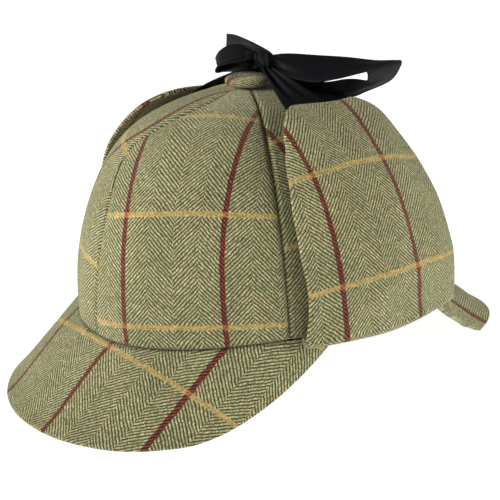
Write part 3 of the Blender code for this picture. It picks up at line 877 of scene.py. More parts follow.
def crown_panel_piece(context, panel):
    """One wedge of the crown, pulled in at its seams and a little full between them."""
    sewing = context.scene.hat_sewing
    wall = sewing.wall / MM
    first, last = (radians(turn) for turn in panel["turns"])
    name = f"crown_panel_{panel['place']}"
    pattern = FlatPattern(
        crown_point, first - PATTERN_MARGIN, last + PATTERN_MARGIN, TIP_CLIMB)
    rim_width = pattern.at(last, LOWEST_CLIMB)[0] - pattern.at(first, LOWEST_CLIMB)[0]

    def seams(climb):
        """The turns of the panel's two seams at a climb."""
        stray = radians(along_curve(FRONT_SEAM_TURNS, climb))
        return (stray if first == 0.0 else first), (stray if last == 0.0 else last)

    def place(across, along):
        climb = blend(LOWEST_CLIMB, TIP_CLIMB, along)
        inset = SEWN_GAP / 2.0 / (HALF_WIDTH * crown_spread(climb))
        start, end = seams(climb)
        return blend(start + inset, end - inset, across), climb

    def over_rim(turn, climb):
        return crown_point(turn, climb).z - crown_point(turn, LOWEST_CLIMB).z

    def relief(across, turn, climb):
        from_seam = min(across, 1.0 - across) * rim_width * crown_spread(climb)
        point = crown_point(turn, climb)
        at_front = (first if across < 0.5 else last) == 0.0
        depth = sewing.seam_depth / MM * (FRONT_SEAM_SHARE if at_front else 1.0)
        drawn_in = depth * bump_at(from_seam, 0.0, sewing.seam_reach / MM)
        full = FULLNESS["height"] * (1.0 - bump_at(from_seam, 0.0, FULLNESS["reach"]))
        pucker = PUCKER["height"] * noise.noise(point / PUCKER["size"])
        pucker *= bump_at(from_seam, 0.0, PUCKER["reach"])
        wave = WAVE["height"] * noise.noise(point / WAVE["size"])
        hollow = sum(
            row["depth"] * bump_at(turn, radians(row["turn"]), radians(row["across"]))
            * bump_at(climb, row["climb"], row["up"]) for row in CROWN_HOLLOWS)
        return (full + pucker + wave - drawn_in - hollow) * smooth_share(
            (1.0 - climb) / TIP_CALM)

    def middle(across, along):
        turn, climb = place(across, along)
        out = crown_normal(turn, climb)
        point = crown_point(turn, climb)
        from_rim = over_rim(turn, climb)
        point.z -= RIM_DROP * (1.0 - smooth_share(from_rim / RIM_DROP_REACH))
        return point + out * (relief(across, turn, climb) - wall / 2.0), out

    def half_thickness(across, along):
        rise = over_rim(*place(across, along))
        return wall / 2.0 * blend(RIM_THINNEST, 1.0, round_edge(rise, RIM_ROLL))

    def cloth(across, along):
        level, up = pulled(*pattern.at(*place(across, along)), name)
        return level - panel["red"], up - panel["gold"]

    # Painted shade in the grooves of the seams and along the rim, weaker at the front seam.
    def seam(across, along):
        turn, climb = place(across, along)
        width = rim_width * crown_spread(climb)
        rim = RIM_SHADE * bump_at(over_rim(turn, climb), 0.0, RIM_SHADE_REACH)
        return max(rim, *(
            bump_at(share * width, 0.0, SEAM_SHADE_REACH)
            * (FRONT_SEAM_SHADE if seam_turn == 0.0 else 1.0)
            for seam_turn, share in ((first, across), (last, 1.0 - across))))

    sheet = sheet_body(middle, half_thickness, cloth, PANEL_GRID, crowding=(0.85, 0.7), seam=seam)
    piece = add_piece(context, "tweed", name, sheet, (TWEED, LINING))
    widths = []
    for row in range(len(pattern.up)):
        climb = pattern.low + row * pattern.climb_step
        start, end = (pattern.level(turn, climb) for turn in seams(climb))
        widths.append(end - start)
    area = sum(
        0.5 * (width + after) * (high - low)
        for width, after, low, high in zip(widths, widths[1:], pattern.up, pattern.up[1:]))


class HAT_OT_crown_panels(bpy.types.Operator):
    """Build the crown's six tweed panels with their lining"""
    bl_idname = "hat.crown_panels"
    bl_label = "Crown Panels"

    def execute(self, context):
        for panel in PANELS:
            crown_panel_piece(context, panel)
        return {"FINISHED"}


def ball_body(segments, rings, placed):
    """A closed body from a ball; placed(point) gives its place and that on flat cloth."""
    ball = bmesh.new()
    uv_layer = ball.loops.layers.uv.new("cloth")
    bmesh.ops.create_uvsphere(ball, u_segments=segments, v_segments=rings, radius=1.0)
    flat = {}
    for vert in ball.verts:
        point, flat[vert] = placed(vert.co.copy())
        vert.co = in_place(point)
    lay_on_cloth(ball, uv_layer, flat)
    face_outwards(ball)
    return ball


BUTTON_FOOT = Vector((0.0, -APEX_FORWARD, CROWN_RISE + 2.0 * SEAM_GAP))
BUTTON_RADIUS = 12.3
BUTTON_HEIGHT = 6.4
BUTTON_WAIST = 2.3        # height of the button's widest ring
BUTTON_SQUARENESS = 0.74  # 1 for an oval profile, less for steeper sides
BUTTON_GATHERS = 14
BUTTON_GATHER_DEPTH = 0.016
BUTTON_GATHER_REACH = 0.5  # how far up and down its side the gathers show
BUTTON_GATHER_SKEW = 2.0   # how far they lean aside
BUTTON_CLOTH = 0.72       # cloth over the button, as a share of the ball's own arc
BUTTON_STRIPE_TURN = radians(72.0)
BUTTON_RED = -3.4
BUTTON_GOLD = -20.0


class HAT_OT_crown_button(bpy.types.Operator):
    """Build the cloth-covered button on the crown's apex"""
    bl_idname = "hat.crown_button"
    bl_label = "Crown Button"

    def execute(self, context):
        def placed(ball):
            around = atan2(ball.y, ball.x)
            out = sqrt(ball.x ** 2 + ball.y ** 2)
            from_top = atan2(out, ball.z)
            gather = bump_at(from_top, pi / 2.0, BUTTON_GATHER_REACH) * cos(
                BUTTON_GATHERS * around + BUTTON_GATHER_SKEW * ball.z)
            rise = -BUTTON_WAIST if ball.z < 0.0 else BUTTON_HEIGHT - BUTTON_WAIST
            rise *= abs(ball.z) ** BUTTON_SQUARENESS
            radius = BUTTON_RADIUS * out ** BUTTON_SQUARENESS * (
                1.0 + BUTTON_GATHER_DEPTH * gather)
            distance = BUTTON_RADIUS * from_top * BUTTON_CLOTH
            turn = around - BUTTON_STRIPE_TURN
            point = Vector((radius * cos(around), radius * sin(around), BUTTON_WAIST + rise))
            return BUTTON_FOOT + point, (
                distance * sin(turn) - BUTTON_RED, distance * cos(turn) - BUTTON_GOLD)

        piece = add_piece(context, "tweed", "crown_button", ball_body(84, 40, placed), (TWEED,))
        return {"FINISHED"}


# --- Peaks ------------------------------------------------------------------------

# The peaks' cloth: arc across the rulings, and distance along them, at which a red and a
# gold stripe cross.
FRONT_PEAK_RED = 14.6
FRONT_PEAK_GOLD = 80.5
BACK_PEAK_RED = 48.3
BACK_PEAK_GOLD = 85.0
FRONT_PEAK_GRID = (150, 40)
BACK_PEAK_GRID = (130, 36)
BACK_PEAK_SPAN = 190.0    # about the length of the back peak's root
PEAK_ROLL = 1.7           # radius of the peaks' rolled edges
PEAK_ROOT_REACH = 12.0    # how far from its root a peak takes on its full relief
PEAK_EDGE_REACH = 16.0    # how far from its edge a peak bends level
PEAK_EDGE_SOFTNESS = 4.0  # how softly its outline turns in to the floor
PEAK_WAVE = {"height": 0.35, "size": 40.0}
PEAK_TUCK = {"depth": 1.6, "reach": 0.7}           # how its root is drawn in under the crown
# Painted shade along a peak's root, where the crown's rim shades it: its strength, and its reach
# in mm.
PEAK_ROOT_SHADE = {"depth": 0.7, "reach": 1.2}
FRONT_PEAK_LIFTS = (0.9, 1.8)      # how far the cloth stands off all over, and at its edge
FAR_PEAK_LIFTS = (1.3, 1.0)        # the same on the wearer's right, where it arches more
FAR_PEAK_START = radians(10.0)     # where that begins, and over how many degrees
FAR_PEAK_BLEND = radians(30.0)
BACK_PEAK_LIFTS = (0.0, 0.4)
# How far the back peak's middle arches up: over which width, and where along its depth.
BACK_PEAK_ARCH = {"height": 3.0, "half_width": 50.0, "fade": 30.0, "along": (0.45, 0.28)}
FLOOR_CONTACT = 0.36      # a peak's outer face ends this high over the floor, by its thickness
PEAK_LEVEL_SLOPE = 0.65   # a face that looks up less than this takes on less of its relief
PEAK_COLUMNS = 100        # in how many columns a peak's area is counted
BACK_EDGE_RISE = 0.6      # how much of its lift the back peak's edge has at the floor
BACK_FACE_SCALE = 100.0   # unit in which its face is followed to find a normal
BACK_LEVEL_BLEND = 3.0    # over how many degrees its depth evens out behind its side edge


def peak_start(turn):
    """Where a peak leaves the crown: on the rim, a seam gap below the panels."""
    return crown_point(turn, 0.0) - Vector((0.0, 0.0, SEAM_GAP))


def to_floor(start, ruling, thickness, rise):
    """Depth along a ruling at which a sheet's rounded edge just rests on the floor."""
    return (start.z + RIM_LEVEL - FLOOR_CONTACT * thickness + rise) / -ruling.z


def softer_least(first, second, reach=PEAK_EDGE_SOFTNESS):
    """The smaller of two values, with a soft change from one to the other."""
    share = smooth_share(0.5 + 0.5 * (second - first) / reach)
    return blend(second, first, share) - reach * share * (1.0 - share) * 0.25


def peak_middle(turn, start, step, depth, out, thickness, lifts, arch=0.0):
    """A point halfway through a peak's cloth, a step from its root, and the way out of it."""
    distance = step.length
    point = start + step
    near_edge = max(distance - depth + PEAK_EDGE_REACH, 0.0) / PEAK_EDGE_REACH
    from_root = smooth_share(distance / PEAK_ROOT_REACH)
    rise = smooth_share(out.z / PEAK_LEVEL_SLOPE) * (
        lifts[0] * from_root + lifts[1] * near_edge ** 2)
    rise += PEAK_WAVE["height"] * noise.noise(point / PEAK_WAVE["size"]) * from_root + arch
    crown_out = crown_normal(turn, 0.0)
    level = Vector((crown_out.x, crown_out.y, 0.0)).normalized()
    point -= level * PEAK_TUCK["depth"] * bump_at(distance, 0.0, PEAK_TUCK["reach"])
    return point + out * (rise - thickness / 2.0), out


def front_outline(share):
    """Turn and depth of the front peak's edge, for a share 0 to 1 of one half."""
    if share < FRONT_LEVEL_SHARE:
        return radians(FRONT_LEVEL_TURN) * share / FRONT_LEVEL_SHARE, FRONT_DEPTH
    angle = (share - FRONT_LEVEL_SHARE) / (1.0 - FRONT_LEVEL_SHARE) * FRONT_CORNER_END
    turn = blend(FRONT_LEVEL_TURN, FRONT_END_TURN, sin(angle) ** (2.0 / FRONT_CORNER))
    return radians(turn), FRONT_DEPTH * cos(angle) ** (2.0 / FRONT_CORNER)


def front_arc(turn, ruling, steps=48):
    """Arc from the middle to a turn, measured across the rulings."""
    starts = [peak_start(turn * index / steps) for index in range(steps + 1)]
    total = 0.0
    for before, here in zip(starts, starts[1:]):
        step = here - before
        total += (step - ruling * step.dot(ruling)).length
    return total if turn > 0.0 else -total


def front_peak_piece(context):
    """The front peak, whose straight rulings droop from the rim, with rounded corners."""
    thickness = context.scene.hat_sewing.peak_thickness / MM
    ruling = Vector((0.0, -cos(radians(FRONT_DROOP)), -sin(radians(FRONT_DROOP))))
    arcs = {}

    def out_at(turn):
        aside = peak_start(turn + SLOPE_STEP) - peak_start(turn - SLOPE_STEP)
        return ruling.cross(aside).normalized()

    def edge(across):
        share = 1.0 - 2.0 * across
        turn, depth = front_outline(abs(share))
        turn = turn if share > 0.0 else -turn
        start = peak_start(turn)
        rise = FRONT_PEAK_LIFTS[1] * out_at(turn).z ** 2
        return turn, start, softer_least(depth, to_floor(start, ruling, thickness, rise))

    def middle(across, along):
        turn, start, depth = edge(across)
        far = smooth_share((-turn - FAR_PEAK_START) / FAR_PEAK_BLEND)
        lifts = [blend(*pair, far) for pair in zip(FRONT_PEAK_LIFTS, FAR_PEAK_LIFTS)]
        step = ruling * depth * along
        return peak_middle(turn, start, step, depth, out_at(turn), thickness, lifts)

    def half_thickness(across, along):
        return thickness / 2.0 * round_edge(edge(across)[2] * (1.0 - along), PEAK_ROLL)

    def cloth(across, along):
        turn, start, depth = edge(across)
        if turn not in arcs:
            arcs[turn] = front_arc(turn, ruling)
        ahead = start.dot(ruling) + depth * along - FRONT_PEAK_GOLD
        aside, ahead = pulled(arcs[turn], ahead, "front_peak")
        return aside - FRONT_PEAK_RED, ahead

    # Painted shade along the root, under the crown's rim.
    def seam(across, along):
        return PEAK_ROOT_SHADE["depth"] * bump_at(
            edge(across)[2] * along, 0.0, PEAK_ROOT_SHADE["reach"])

    sheet = sheet_body(
        middle, half_thickness, cloth, FRONT_PEAK_GRID, crowding=(0.0, 0.85), seam=seam)
    piece = add_piece(context, "tweed", "front_peak", sheet, (TWEED, TWEED))
    columns = [edge(index / PEAK_COLUMNS) for index in range(PEAK_COLUMNS + 1)]
    spans = [front_arc(turn, ruling) for turn, start, depth in columns]
    area = sum(
        abs(span - after) * depth
        for span, after, (turn, start, depth) in zip(spans, spans[1:], columns))


class HAT_OT_front_peak(bpy.types.Operator):
    """Build the front peak: stiffened tweed with a turned edge"""
    bl_idname = "hat.front_peak"
    bl_label = "Front Peak"

    def execute(self, context):
        front_peak_piece(context)
        return {"FINISHED"}


def back_depth(turn):
    """Depth of the back peak at a turn in degrees, read from its side edge's table."""
    for (low_turn, low_depth), (high_turn, high_depth) in zip(
            BACK_SIDE_EDGE, BACK_SIDE_EDGE[1:]):
        if turn < high_turn:
            return blend(low_depth, high_depth, (turn - low_turn) / (high_turn - low_turn))
    past = (turn - high_turn) / BACK_LEVEL_BLEND
    return blend(high_depth, BACK_LEVEL_DEPTH, smooth_share(past))


def back_peak_piece(context):
    """The back peak, which droops more towards its sides and arches in its middle."""
    thickness = context.scene.hat_sewing.peak_thickness / MM
    end_turn = BACK_SIDE_EDGE[0][0]
    level = Vector((0.0, cos(radians(BACK_DROOP)), -sin(radians(BACK_DROOP))))

    def ruling_at(start):
        sideways = min(abs(start.x) / BACK_DROOP_WIDTH, 1.0)
        droop = radians(BACK_DROOP + BACK_DROOP_GAIN * sideways ** 4)
        return Vector((0.0, cos(droop), -sin(droop)))

    def face(turn, share):
        start = peak_start(turn)
        return start + ruling_at(start) * share * BACK_FACE_SCALE

    def edge(across):
        turn = blend(360.0 - end_turn, end_turn, across)
        start = peak_start(radians(turn))
        ruling = ruling_at(start)
        rise = BACK_PEAK_LIFTS[1] * BACK_EDGE_RISE
        limit = to_floor(start, ruling, thickness, rise)
        depth = softer_least(back_depth(min(turn, 360.0 - turn)), limit)
        return radians(turn), start, ruling, depth

    def middle(across, along):
        turn, start, ruling, depth = edge(across)
        out = surface_normal(face, turn, depth * along / BACK_FACE_SCALE)
        out = out if out.z > 0.0 else -out
        from_side = BACK_PEAK_ARCH["half_width"] - abs(start.x)
        arch = BACK_PEAK_ARCH["height"] * bump_at(along, *BACK_PEAK_ARCH["along"])
        arch *= smooth_share(from_side / BACK_PEAK_ARCH["fade"])
        step = ruling * depth * along
        return peak_middle(turn, start, step, depth, out, thickness, BACK_PEAK_LIFTS, arch)

    def half_thickness(across, along):
        from_edge = edge(across)[3] * (1.0 - along)
        from_side = min(across, 1.0 - across) * BACK_PEAK_SPAN
        return thickness / 2.0 * (
            round_edge(from_edge, PEAK_ROLL) * round_edge(from_side, PEAK_ROLL))

    def cloth(across, along):
        start, ruling, depth = edge(across)[1:]
        point = start + ruling * depth * along
        aside, ahead = pulled(point.x, point.dot(level) - BACK_PEAK_GOLD, "back_peak")
        return aside - BACK_PEAK_RED, ahead

    sheet = sheet_body(
        middle, half_thickness, cloth, BACK_PEAK_GRID, crowding=(0.5, 0.85))
    piece = add_piece(context, "tweed", "back_peak", sheet, (TWEED, TWEED))
    columns = [edge(index / PEAK_COLUMNS) for index in range(PEAK_COLUMNS + 1)]
    places = [start - level * start.dot(level) for turn, start, ruling, depth in columns]
    steps = [(after - here).length for here, after in zip(places, places[1:])]


class HAT_OT_back_peak(bpy.types.Operator):
    """Build the back peak: stiffened tweed that droops to the floor"""
    bl_idname = "hat.back_peak"
    bl_label = "Back Peak"

    def execute(self, context):
        back_peak_piece(context)
        return {"FINISHED"}


# --- Ear flaps --------------------------------------------------------------------

# Where the stripes cross each flap's flat pattern, in mm, and the turns it spans.
FLAP_CLOTH = {
    "left": {"red": -33.5, "gold": 27.8, "first": 70.0, "last": 130.0},
    "right": {"red": -44.6, "gold": 40.0, "first": 58.0, "last": 142.0},
}
# Between two red stripes a flap takes up more cloth than the level distance over the
# crown, as it stands in waves: over which distance, and how much more.
FLAP_WAVE_SPAN = 45.5
FLAP_WAVE_CLOTH = 8.5
FLAP_GRID = (72, 120)
FLAP_REACH = 1.014        # the cloth's height as a share of its solid's, for the rolled edge
FLAP_STANDOFF = 10.0      # the stand-off at which a flap's flat pattern is taken
FLAP_PATTERN_TOP = 0.76   # the climb up to which it is taken
# Stand-off added to the solids', as the rolled edges take some of the outline away.
FLAP_SWELL = {
    "left": {"front": 0.0, "rear": 0.7, "top": 0.9},
    "right": {"front": -0.4, "rear": 0.0, "top": -0.6},
}
# How far back the flap's front edge stands at heights from the fold to the top, in mm.
FLAP_FRONT_INSETS = (0.0, 2.0, 2.3, 1.0, 0.3, -0.5, -0.2, -0.2, 1.8, 1.4, 1.7)
# About how wide a flap is, how high over its fold, and the radius of its rolled edges.
FLAP_WIDTH = 96.0
FLAP_HEIGHT = 128.0
FLAP_ROLL = 2.4
# The fold rises towards the back: how far, how steeply and from where across the flap,
# and up to which height it shows.
FLAP_HEEL = {"height": 4.8, "steepness": 1.7, "start": 0.6, "fade": 0.3}
FLAP_TOP = {"steepness": 1.5, "start": 0.35}  # how its top falls from front to back
FLAP_ROLL_START = 0.2     # up to which height the rolled front and the waves grow
FLAP_WAVE_START = 0.15
# Soft hills and hollows of a flap: height in mm, then middle and reach across and up it,
# as shares of its width and height. The right flap has one more.
FLAP_HILLS = (
    {"height": 1.3, "across": (0.2, 0.14), "up": (0.9, 0.08)},
    {"height": -1.2, "across": (0.24, 0.12), "up": (0.74, 0.09)},
    {"height": 2.2, "across": (0.85, 0.22), "up": (0.88, 0.1)},
    {"height": -1.1, "across": (0.95, 0.35), "up": (0.6, 0.14)},
)
RIGHT_FLAP_HILL = {"height": 1.5, "across": (0.1, 0.4), "up": (0.78, 0.13)}
FLAP_FRONT_ROLL = {"height": 0.9, "across": (0.06, 0.07)}
# The flaps' waves: height and size in mm.
FLAP_WAVES = ((1.0, 30.0), (0.35, 13.0))


def flap_standoff(shape, share, height):
    """How far a flap's outer face stands off the crown."""
    fold = FOLD_RADIUS + blend(FOLD_FRONT_STANDOFF, FOLD_REAR_STANDOFF, share)
    side = blend(shape["front"], shape["rear"], smooth_share(share / OPENING_WIDTH))
    lower = blend(fold, side, smooth_share(height / OPENING_HEIGHT))
    closing = shape["closing"]
    return blend(lower, shape["top"], smooth_share((height - closing) / (1.0 - closing)))


def flap_fullness(side, share, height, point):
    """Height of a flap's hills, hollows, rolled front and waves, in mm."""
    full = sum(
        hill["height"] * bump_at(share, *hill["across"]) * bump_at(height, *hill["up"])
        for hill in FLAP_HILLS + ((RIGHT_FLAP_HILL,) if side == "right" else ()))
    front_roll = FLAP_FRONT_ROLL["height"] * bump_at(share, *FLAP_FRONT_ROLL["across"])
    waves = sum(rise * noise.noise(point / size) for rise, size in FLAP_WAVES)
    full += front_roll * smooth_share(height / FLAP_ROLL_START)
    return full + waves * smooth_share(height / FLAP_WAVE_START)


def flap_piece(context, side):
    """An ear flap, folded under the rim and up along the crown, soft and a little full.

    Its functions are the left flap's, across from its front; the right one is mirrored.
    """
    thickness = context.scene.hat_sewing.flap_thickness / MM
    swell = FLAP_SWELL[side]
    shape = {part: size + swell.get(part, 0.0) for part, size in FLAPS[side].items()}
    cut = FLAP_CLOTH[side]
    name = f"ear_flap_{side}"
    mirror = 1.0 if side == "left" else -1.0
    pattern = FlatPattern(
        lambda turn, climb: off_crown(turn, climb, FLAP_STANDOFF),
        radians(cut["first"]), radians(cut["last"]), FLAP_PATTERN_TOP)

    def from_front(across):
        return across if side == "left" else 1.0 - across

    def front_inset(height):
        return along_curve(FLAP_FRONT_INSETS, within(height)) / FLAP_WIDTH

    def place(across, along):
        """Height share, width share, turn and climb of a point above the fold."""
        height = (along - FOLD_SHARE) / (1.0 - FOLD_SHARE)
        inset = 0.0
        if height > FLAP_CORNER_START:
            corner = (height - FLAP_CORNER_START) / (1.0 - FLAP_CORNER_START) * pi / 2.0
            height = blend(FLAP_CORNER_START, 1.0, sin(corner))
            inset = FLAP_CORNER * (1.0 - cos(corner))
        share = blend(inset + front_inset(height), 1.0 - inset, across)
        front = FLAP_FRONT - shape["lean"] * smooth_share(height / LEAN_HEIGHT)
        turn = radians(blend(front, FLAP_REAR, share))
        back = smooth_share(FLAP_TOP["steepness"] * share - FLAP_TOP["start"])
        top = blend(FLAP_FRONT_CLIMB, FLAP_REAR_CLIMB, back)
        return height, share, turn, height * top * FLAP_REACH

    def fold_place(across):
        """Width share and turn of a point in the fold."""
        share = blend(front_inset(0.0), 1.0, across)
        return share, radians(blend(FLAP_FRONT, FLAP_REAR, share))

    def heel_lift(share, height):
        rise = smooth_share(FLAP_HEEL["steepness"] * share - FLAP_HEEL["start"])
        rise *= 1.0 - smooth_share(height / FLAP_HEEL["fade"])
        return Vector((0.0, 0.0, FLAP_HEEL["height"] * rise))

    def folded(across, along):
        share, turn = fold_place(across)
        angle = blend(FOLD_START, 0.0, along / FOLD_SHARE)
        level = crown_normal(turn, 0.0)
        out = level * cos(angle) + Vector((0.0, 0.0, sin(angle)))
        standoff = blend(FOLD_FRONT_STANDOFF, FOLD_REAR_STANDOFF, share)
        point = crown_point(turn, 0.0) + level * standoff
        point += out * (FOLD_RADIUS - thickness / 2.0)
        return point + heel_lift(share, 0.0), out.normalized()

    def upright(across, along):
        height, share, turn, climb = place(across, along)
        out = crown_normal(turn, climb)
        point = crown_point(turn, climb)
        standoff = flap_standoff(shape, share, height) - thickness / 2.0
        standoff += flap_fullness(side, share, height, point)
        return point + out * standoff + heel_lift(share, height), out

    def middle(across, along):
        point, out = (folded if along < FOLD_SHARE else upright)(from_front(across), along)
        sides = Vector((mirror, 1.0, 1.0))
        return point * sides, out * sides

    def half_thickness(across, along):
        from_side = min(across, 1.0 - across) * FLAP_WIDTH
        from_top = (1.0 - place(across, max(along, FOLD_SHARE))[0]) * FLAP_HEIGHT
        return thickness / 2.0 * round_edge(from_side, FLAP_ROLL) * round_edge(
            from_top, FLAP_ROLL)

    def cloth(across, along):
        across = from_front(across)
        if along < FOLD_SHARE:
            level, up = pattern.at(fold_place(across)[1], LOWEST_CLIMB)
            up += (1.0 - along / FOLD_SHARE) * FOLD_START * FOLD_RADIUS
        else:
            level, up = pattern.at(*place(across, along)[2:])
        level, up = pulled(level, up - cut["gold"], name)
        level -= cut["red"]
        level += FLAP_WAVE_CLOTH * smooth_share(level / FLAP_WAVE_SPAN)
        return mirror * level, up

    sheet = sheet_body(middle, half_thickness, cloth, FLAP_GRID, crowding=(0.75, 0.0))
    piece = add_piece(context, "tweed", name, sheet, (TWEED, TWEED))


class HAT_OT_ear_flaps(bpy.types.Operator):
    """Build both ear flaps, folded up against the crown"""
    bl_idname = "hat.ear_flaps"
    bl_label = "Ear Flaps"

    def execute(self, context):
        for side in ("left", "right"):
            flap_piece(context, side)
        return {"FINISHED"}


# --- Ribbon -----------------------------------------------------------------------

RIBBON_SLOPE_STEP = 2e-3
TIE_GRID = (56, 64)
TIE_PLEATS = {"height": 1.5, "count": 2.3, "start": 0.6}
TIE_PLEATS_ALONG = {"start": 0.3, "over": 0.6}     # where along a tie they set in
BOW_PLEATS = {"height": 1.1, "count": 2.0, "start": 0.9}
BOW_GATHER = 14.0         # how far from the knot the bow is gathered in pleats
ROOT_SHARE = 0.35         # how far out a band's root lies inside the knot, of its first row
RIBBON_CREASE = {"height": 1.2, "across": 9.0, "along": 22.0}
KNOT_CREASE = {"depth": 0.07, "count": 3.2, "skew": 0.7}
KNOT_SQUARENESS = 3.2     # 2 for an oval profile, more for flatter sides
# Bow pieces: their table, the grid of their mesh, which ends are gathered at the knot,
# which of them run on into it, and how far they bulge between their edges, in mm.
BOW_PIECES = (
    {"name": "ribbon_loop_long", "table": LONG_LOOP, "grid": (40, 150),
     "ends": (True, True), "roots": (True, True), "camber": 1.2},
    {"name": "ribbon_loop_short", "table": SHORT_LOOP, "grid": (40, 80),
     "ends": (True, True), "roots": (True, True), "camber": 0.8},
    {"name": "ribbon_tail_right", "table": RIGHT_TAIL, "grid": (40, 36),
     "ends": (True, False), "roots": (False, False), "camber": 0.7},
    {"name": "ribbon_tail_back", "table": BACK_TAIL, "grid": (40, 48),
     "ends": (True, False), "roots": (True, False), "camber": 0.8},
)


def pleat(pleats, across):
    return pleats["height"] * sin(2.0 * pi * pleats["count"] * across + pleats["start"])


def band_length(surface, steps=80):
    """Length of a band along its middle, in mm."""
    points = [surface(0.5, index / steps) for index in range(steps + 1)]
    return sum((after - here).length for here, after in zip(points, points[1:]))


def ribbon_piece(context, name, surface, grid, relief):
    """A band of ribbon over a surface function, with pleats and camber as relief."""
    half = context.scene.hat_ribbon.thickness / MM / 2.0
    length = band_length(surface)

    def middle(across, along):
        out = surface_normal(surface, across, along, RIBBON_SLOPE_STEP)
        return surface(across, along) + out * (relief(across, along) - half), out

    sheet = sheet_body(
        middle, lambda across, along: half,
        lambda across, along: (across * RIBBON_WIDTH, along * length), grid)
    piece = add_piece(context, "band", name, sheet, (RIBBON, RIBBON))


def tie_surface(side):
    """A tie: up between crown and flap, then gathered to the knot."""
    def left_surface(across, along):
        turn = radians(blend(TIE_FRONT, TIE_BACK, across))
        points = [off_crown(turn, climb, TIE_STANDOFFS[side]) for climb in TIE_CLIMBS]
        gathered = Vector((TIE_STOP - 2.0, TIE_GATHER * (2.0 * across - 1.0), -TIE_DROP))
        return along_curve(points + [KNOT_CENTRE + gathered], along)

    def right_surface(across, along):
        return left_surface(1.0 - across, along) * Vector((-1.0, 1.0, 1.0))
    return left_surface if side == "left" else right_surface


class HAT_OT_ribbon_ties(bpy.types.Operator):
    """Build the two ribbons that come up from the flaps to the knot"""
    bl_idname = "hat.ribbon_ties"
    bl_label = "Ribbon Ties"

    def execute(self, context):
        def relief(across, along):
            set_in = (along - TIE_PLEATS_ALONG["start"]) / TIE_PLEATS_ALONG["over"]
            return pleat(TIE_PLEATS, across) * smooth_share(set_in)

        for side in ("left", "right"):
            ribbon_piece(
                context, f"ribbon_tie_{side}", tie_surface(side), TIE_GRID, relief)
        return {"FINISHED"}


def bow_offset(along, up, across):
    """A step in the bow's own directions, in mm."""
    return Vector((
        cos(BOW_HEADING) * along - sin(BOW_HEADING) * across,
        sin(BOW_HEADING) * along + cos(BOW_HEADING) * across,
        up,
    ))


def band_surface(table, roots):
    """The surface between a bow piece's two edges, carried on into the knot."""
    edges = []
    for columns in (slice(0, 3), slice(3, 6)):
        rows = [bow_offset(*row[columns]) for row in table]
        first, last = [rows[0] * ROOT_SHARE] * roots[0], [rows[-1] * ROOT_SHARE] * roots[1]
        edges.append([KNOT_CENTRE + row for row in first + rows + last])

    def surface(across, along):
        far_edge, near_edge = (along_curve(edge, along) for edge in edges)
        return far_edge.lerp(near_edge, across)
    return surface


class HAT_OT_ribbon_bow(bpy.types.Operator):
    """Build the bow's loops and tails"""
    bl_idname = "hat.ribbon_bow"
    bl_label = "Ribbon Bow"

    def execute(self, context):
        for band in BOW_PIECES:
            surface = band_surface(band["table"], band["roots"])
            length = band_length(surface)

            def relief(across, along, band=band, length=length):
                from_knot = min(
                    along if band["ends"][0] else 1.0, 1.0 - along if band["ends"][1] else 1.0)
                gather = bump_at(from_knot * length, 0.0, BOW_GATHER)
                camber = band["camber"] * (4.0 * across * (1.0 - across) - 0.5)
                crease = RIBBON_CREASE["height"] * noise.noise(Vector((
                    across * RIBBON_WIDTH / RIBBON_CREASE["across"],
                    along * length / RIBBON_CREASE["along"], length)))
                return pleat(BOW_PLEATS, across) * gather + (camber + crease) * (1.0 - gather)

            ribbon_piece(
                context, band["name"], surface, band["grid"], relief)
        return {"FINISHED"}


class HAT_OT_ribbon_knot(bpy.types.Operator):
    """Build the knot's wrap"""
    bl_idname = "hat.ribbon_knot"
    bl_label = "Ribbon Knot"

    def execute(self, context):
        def placed(ball):
            # The ball's poles point along the bow, so its creases run round it.
            width = ball.z
            around = atan2(ball.y, ball.x)
            crease = KNOT_CREASE["depth"] * (1.0 - width ** 2) * cos(
                KNOT_CREASE["count"] * pi * width + KNOT_CREASE["skew"] * sin(around))
            waist = sqrt(max(1.0 - abs(width) ** KNOT_SQUARENESS, 0.0)) * (1.0 + crease)
            step = bow_offset(
                width * KNOT_RADII.x, waist * sin(around) * KNOT_RADII.z,
                waist * cos(around) * KNOT_RADII.y)
            return KNOT_CENTRE + step, (width * KNOT_RADII.x, around * KNOT_RADII.z)

        piece = add_piece(context, "wrap", "ribbon_knot", ball_body(72, 48, placed), (RIBBON,))
        return {"FINISHED"}


# --- Stage ------------------------------------------------------------------------

CAMERA_PLACE = Vector((0.53218, -0.35710, 0.28138))
CAMERA_AZIMUTH = radians(56.936)
CAMERA_DIP = radians(19.067)
CAMERA_ROLL = radians(-1.265)
CAMERA_LENS = 88.71
CAMERA_SENSOR = 36.0
FLOOR_RADIUS = 8.0
FLOOR_GLOW = 1.0          # light of the floor itself, as over a light table
FLOOR_MATT = 0.5          # share of its colour that the floor shows by the light it is given
LIGHT_SIZE = 1.1
LIGHT_AIM = Vector((0.0, 0.0, 0.08))
# The lights: their places, and their power as a share of the key light's.
LIGHTS = (
    ("key_light", Vector((-0.45, -1.30, 0.76)), 1.0),
    ("side_light", Vector((1.28, 0.88, 0.42)), 0.70),
)


def build_floor(scene, look):
    """A pale round floor that glows, so that it stays nearly white around the hat."""
    ground = bmesh.new()
    bmesh.ops.create_circle(ground, cap_ends=True, segments=96, radius=FLOOR_RADIUS)
    mesh = mesh_from("studio_floor", ground)
    material, nodes, surface = new_material("pale_floor")
    matt = [channel * FLOOR_MATT for channel in look.floor_colour[:3]] + [1.0]
    nodes.feed(surface, {
        "Base Color": matt, "Roughness": 0.9, "Specular IOR Level": 0.1,
        "Emission Color": look.floor_colour, "Emission Strength": FLOOR_GLOW,
    })
    mesh.materials.append(material)
    floor_piece = bpy.data.objects.new("studio_floor", mesh)
    scene.collection.objects.link(floor_piece)


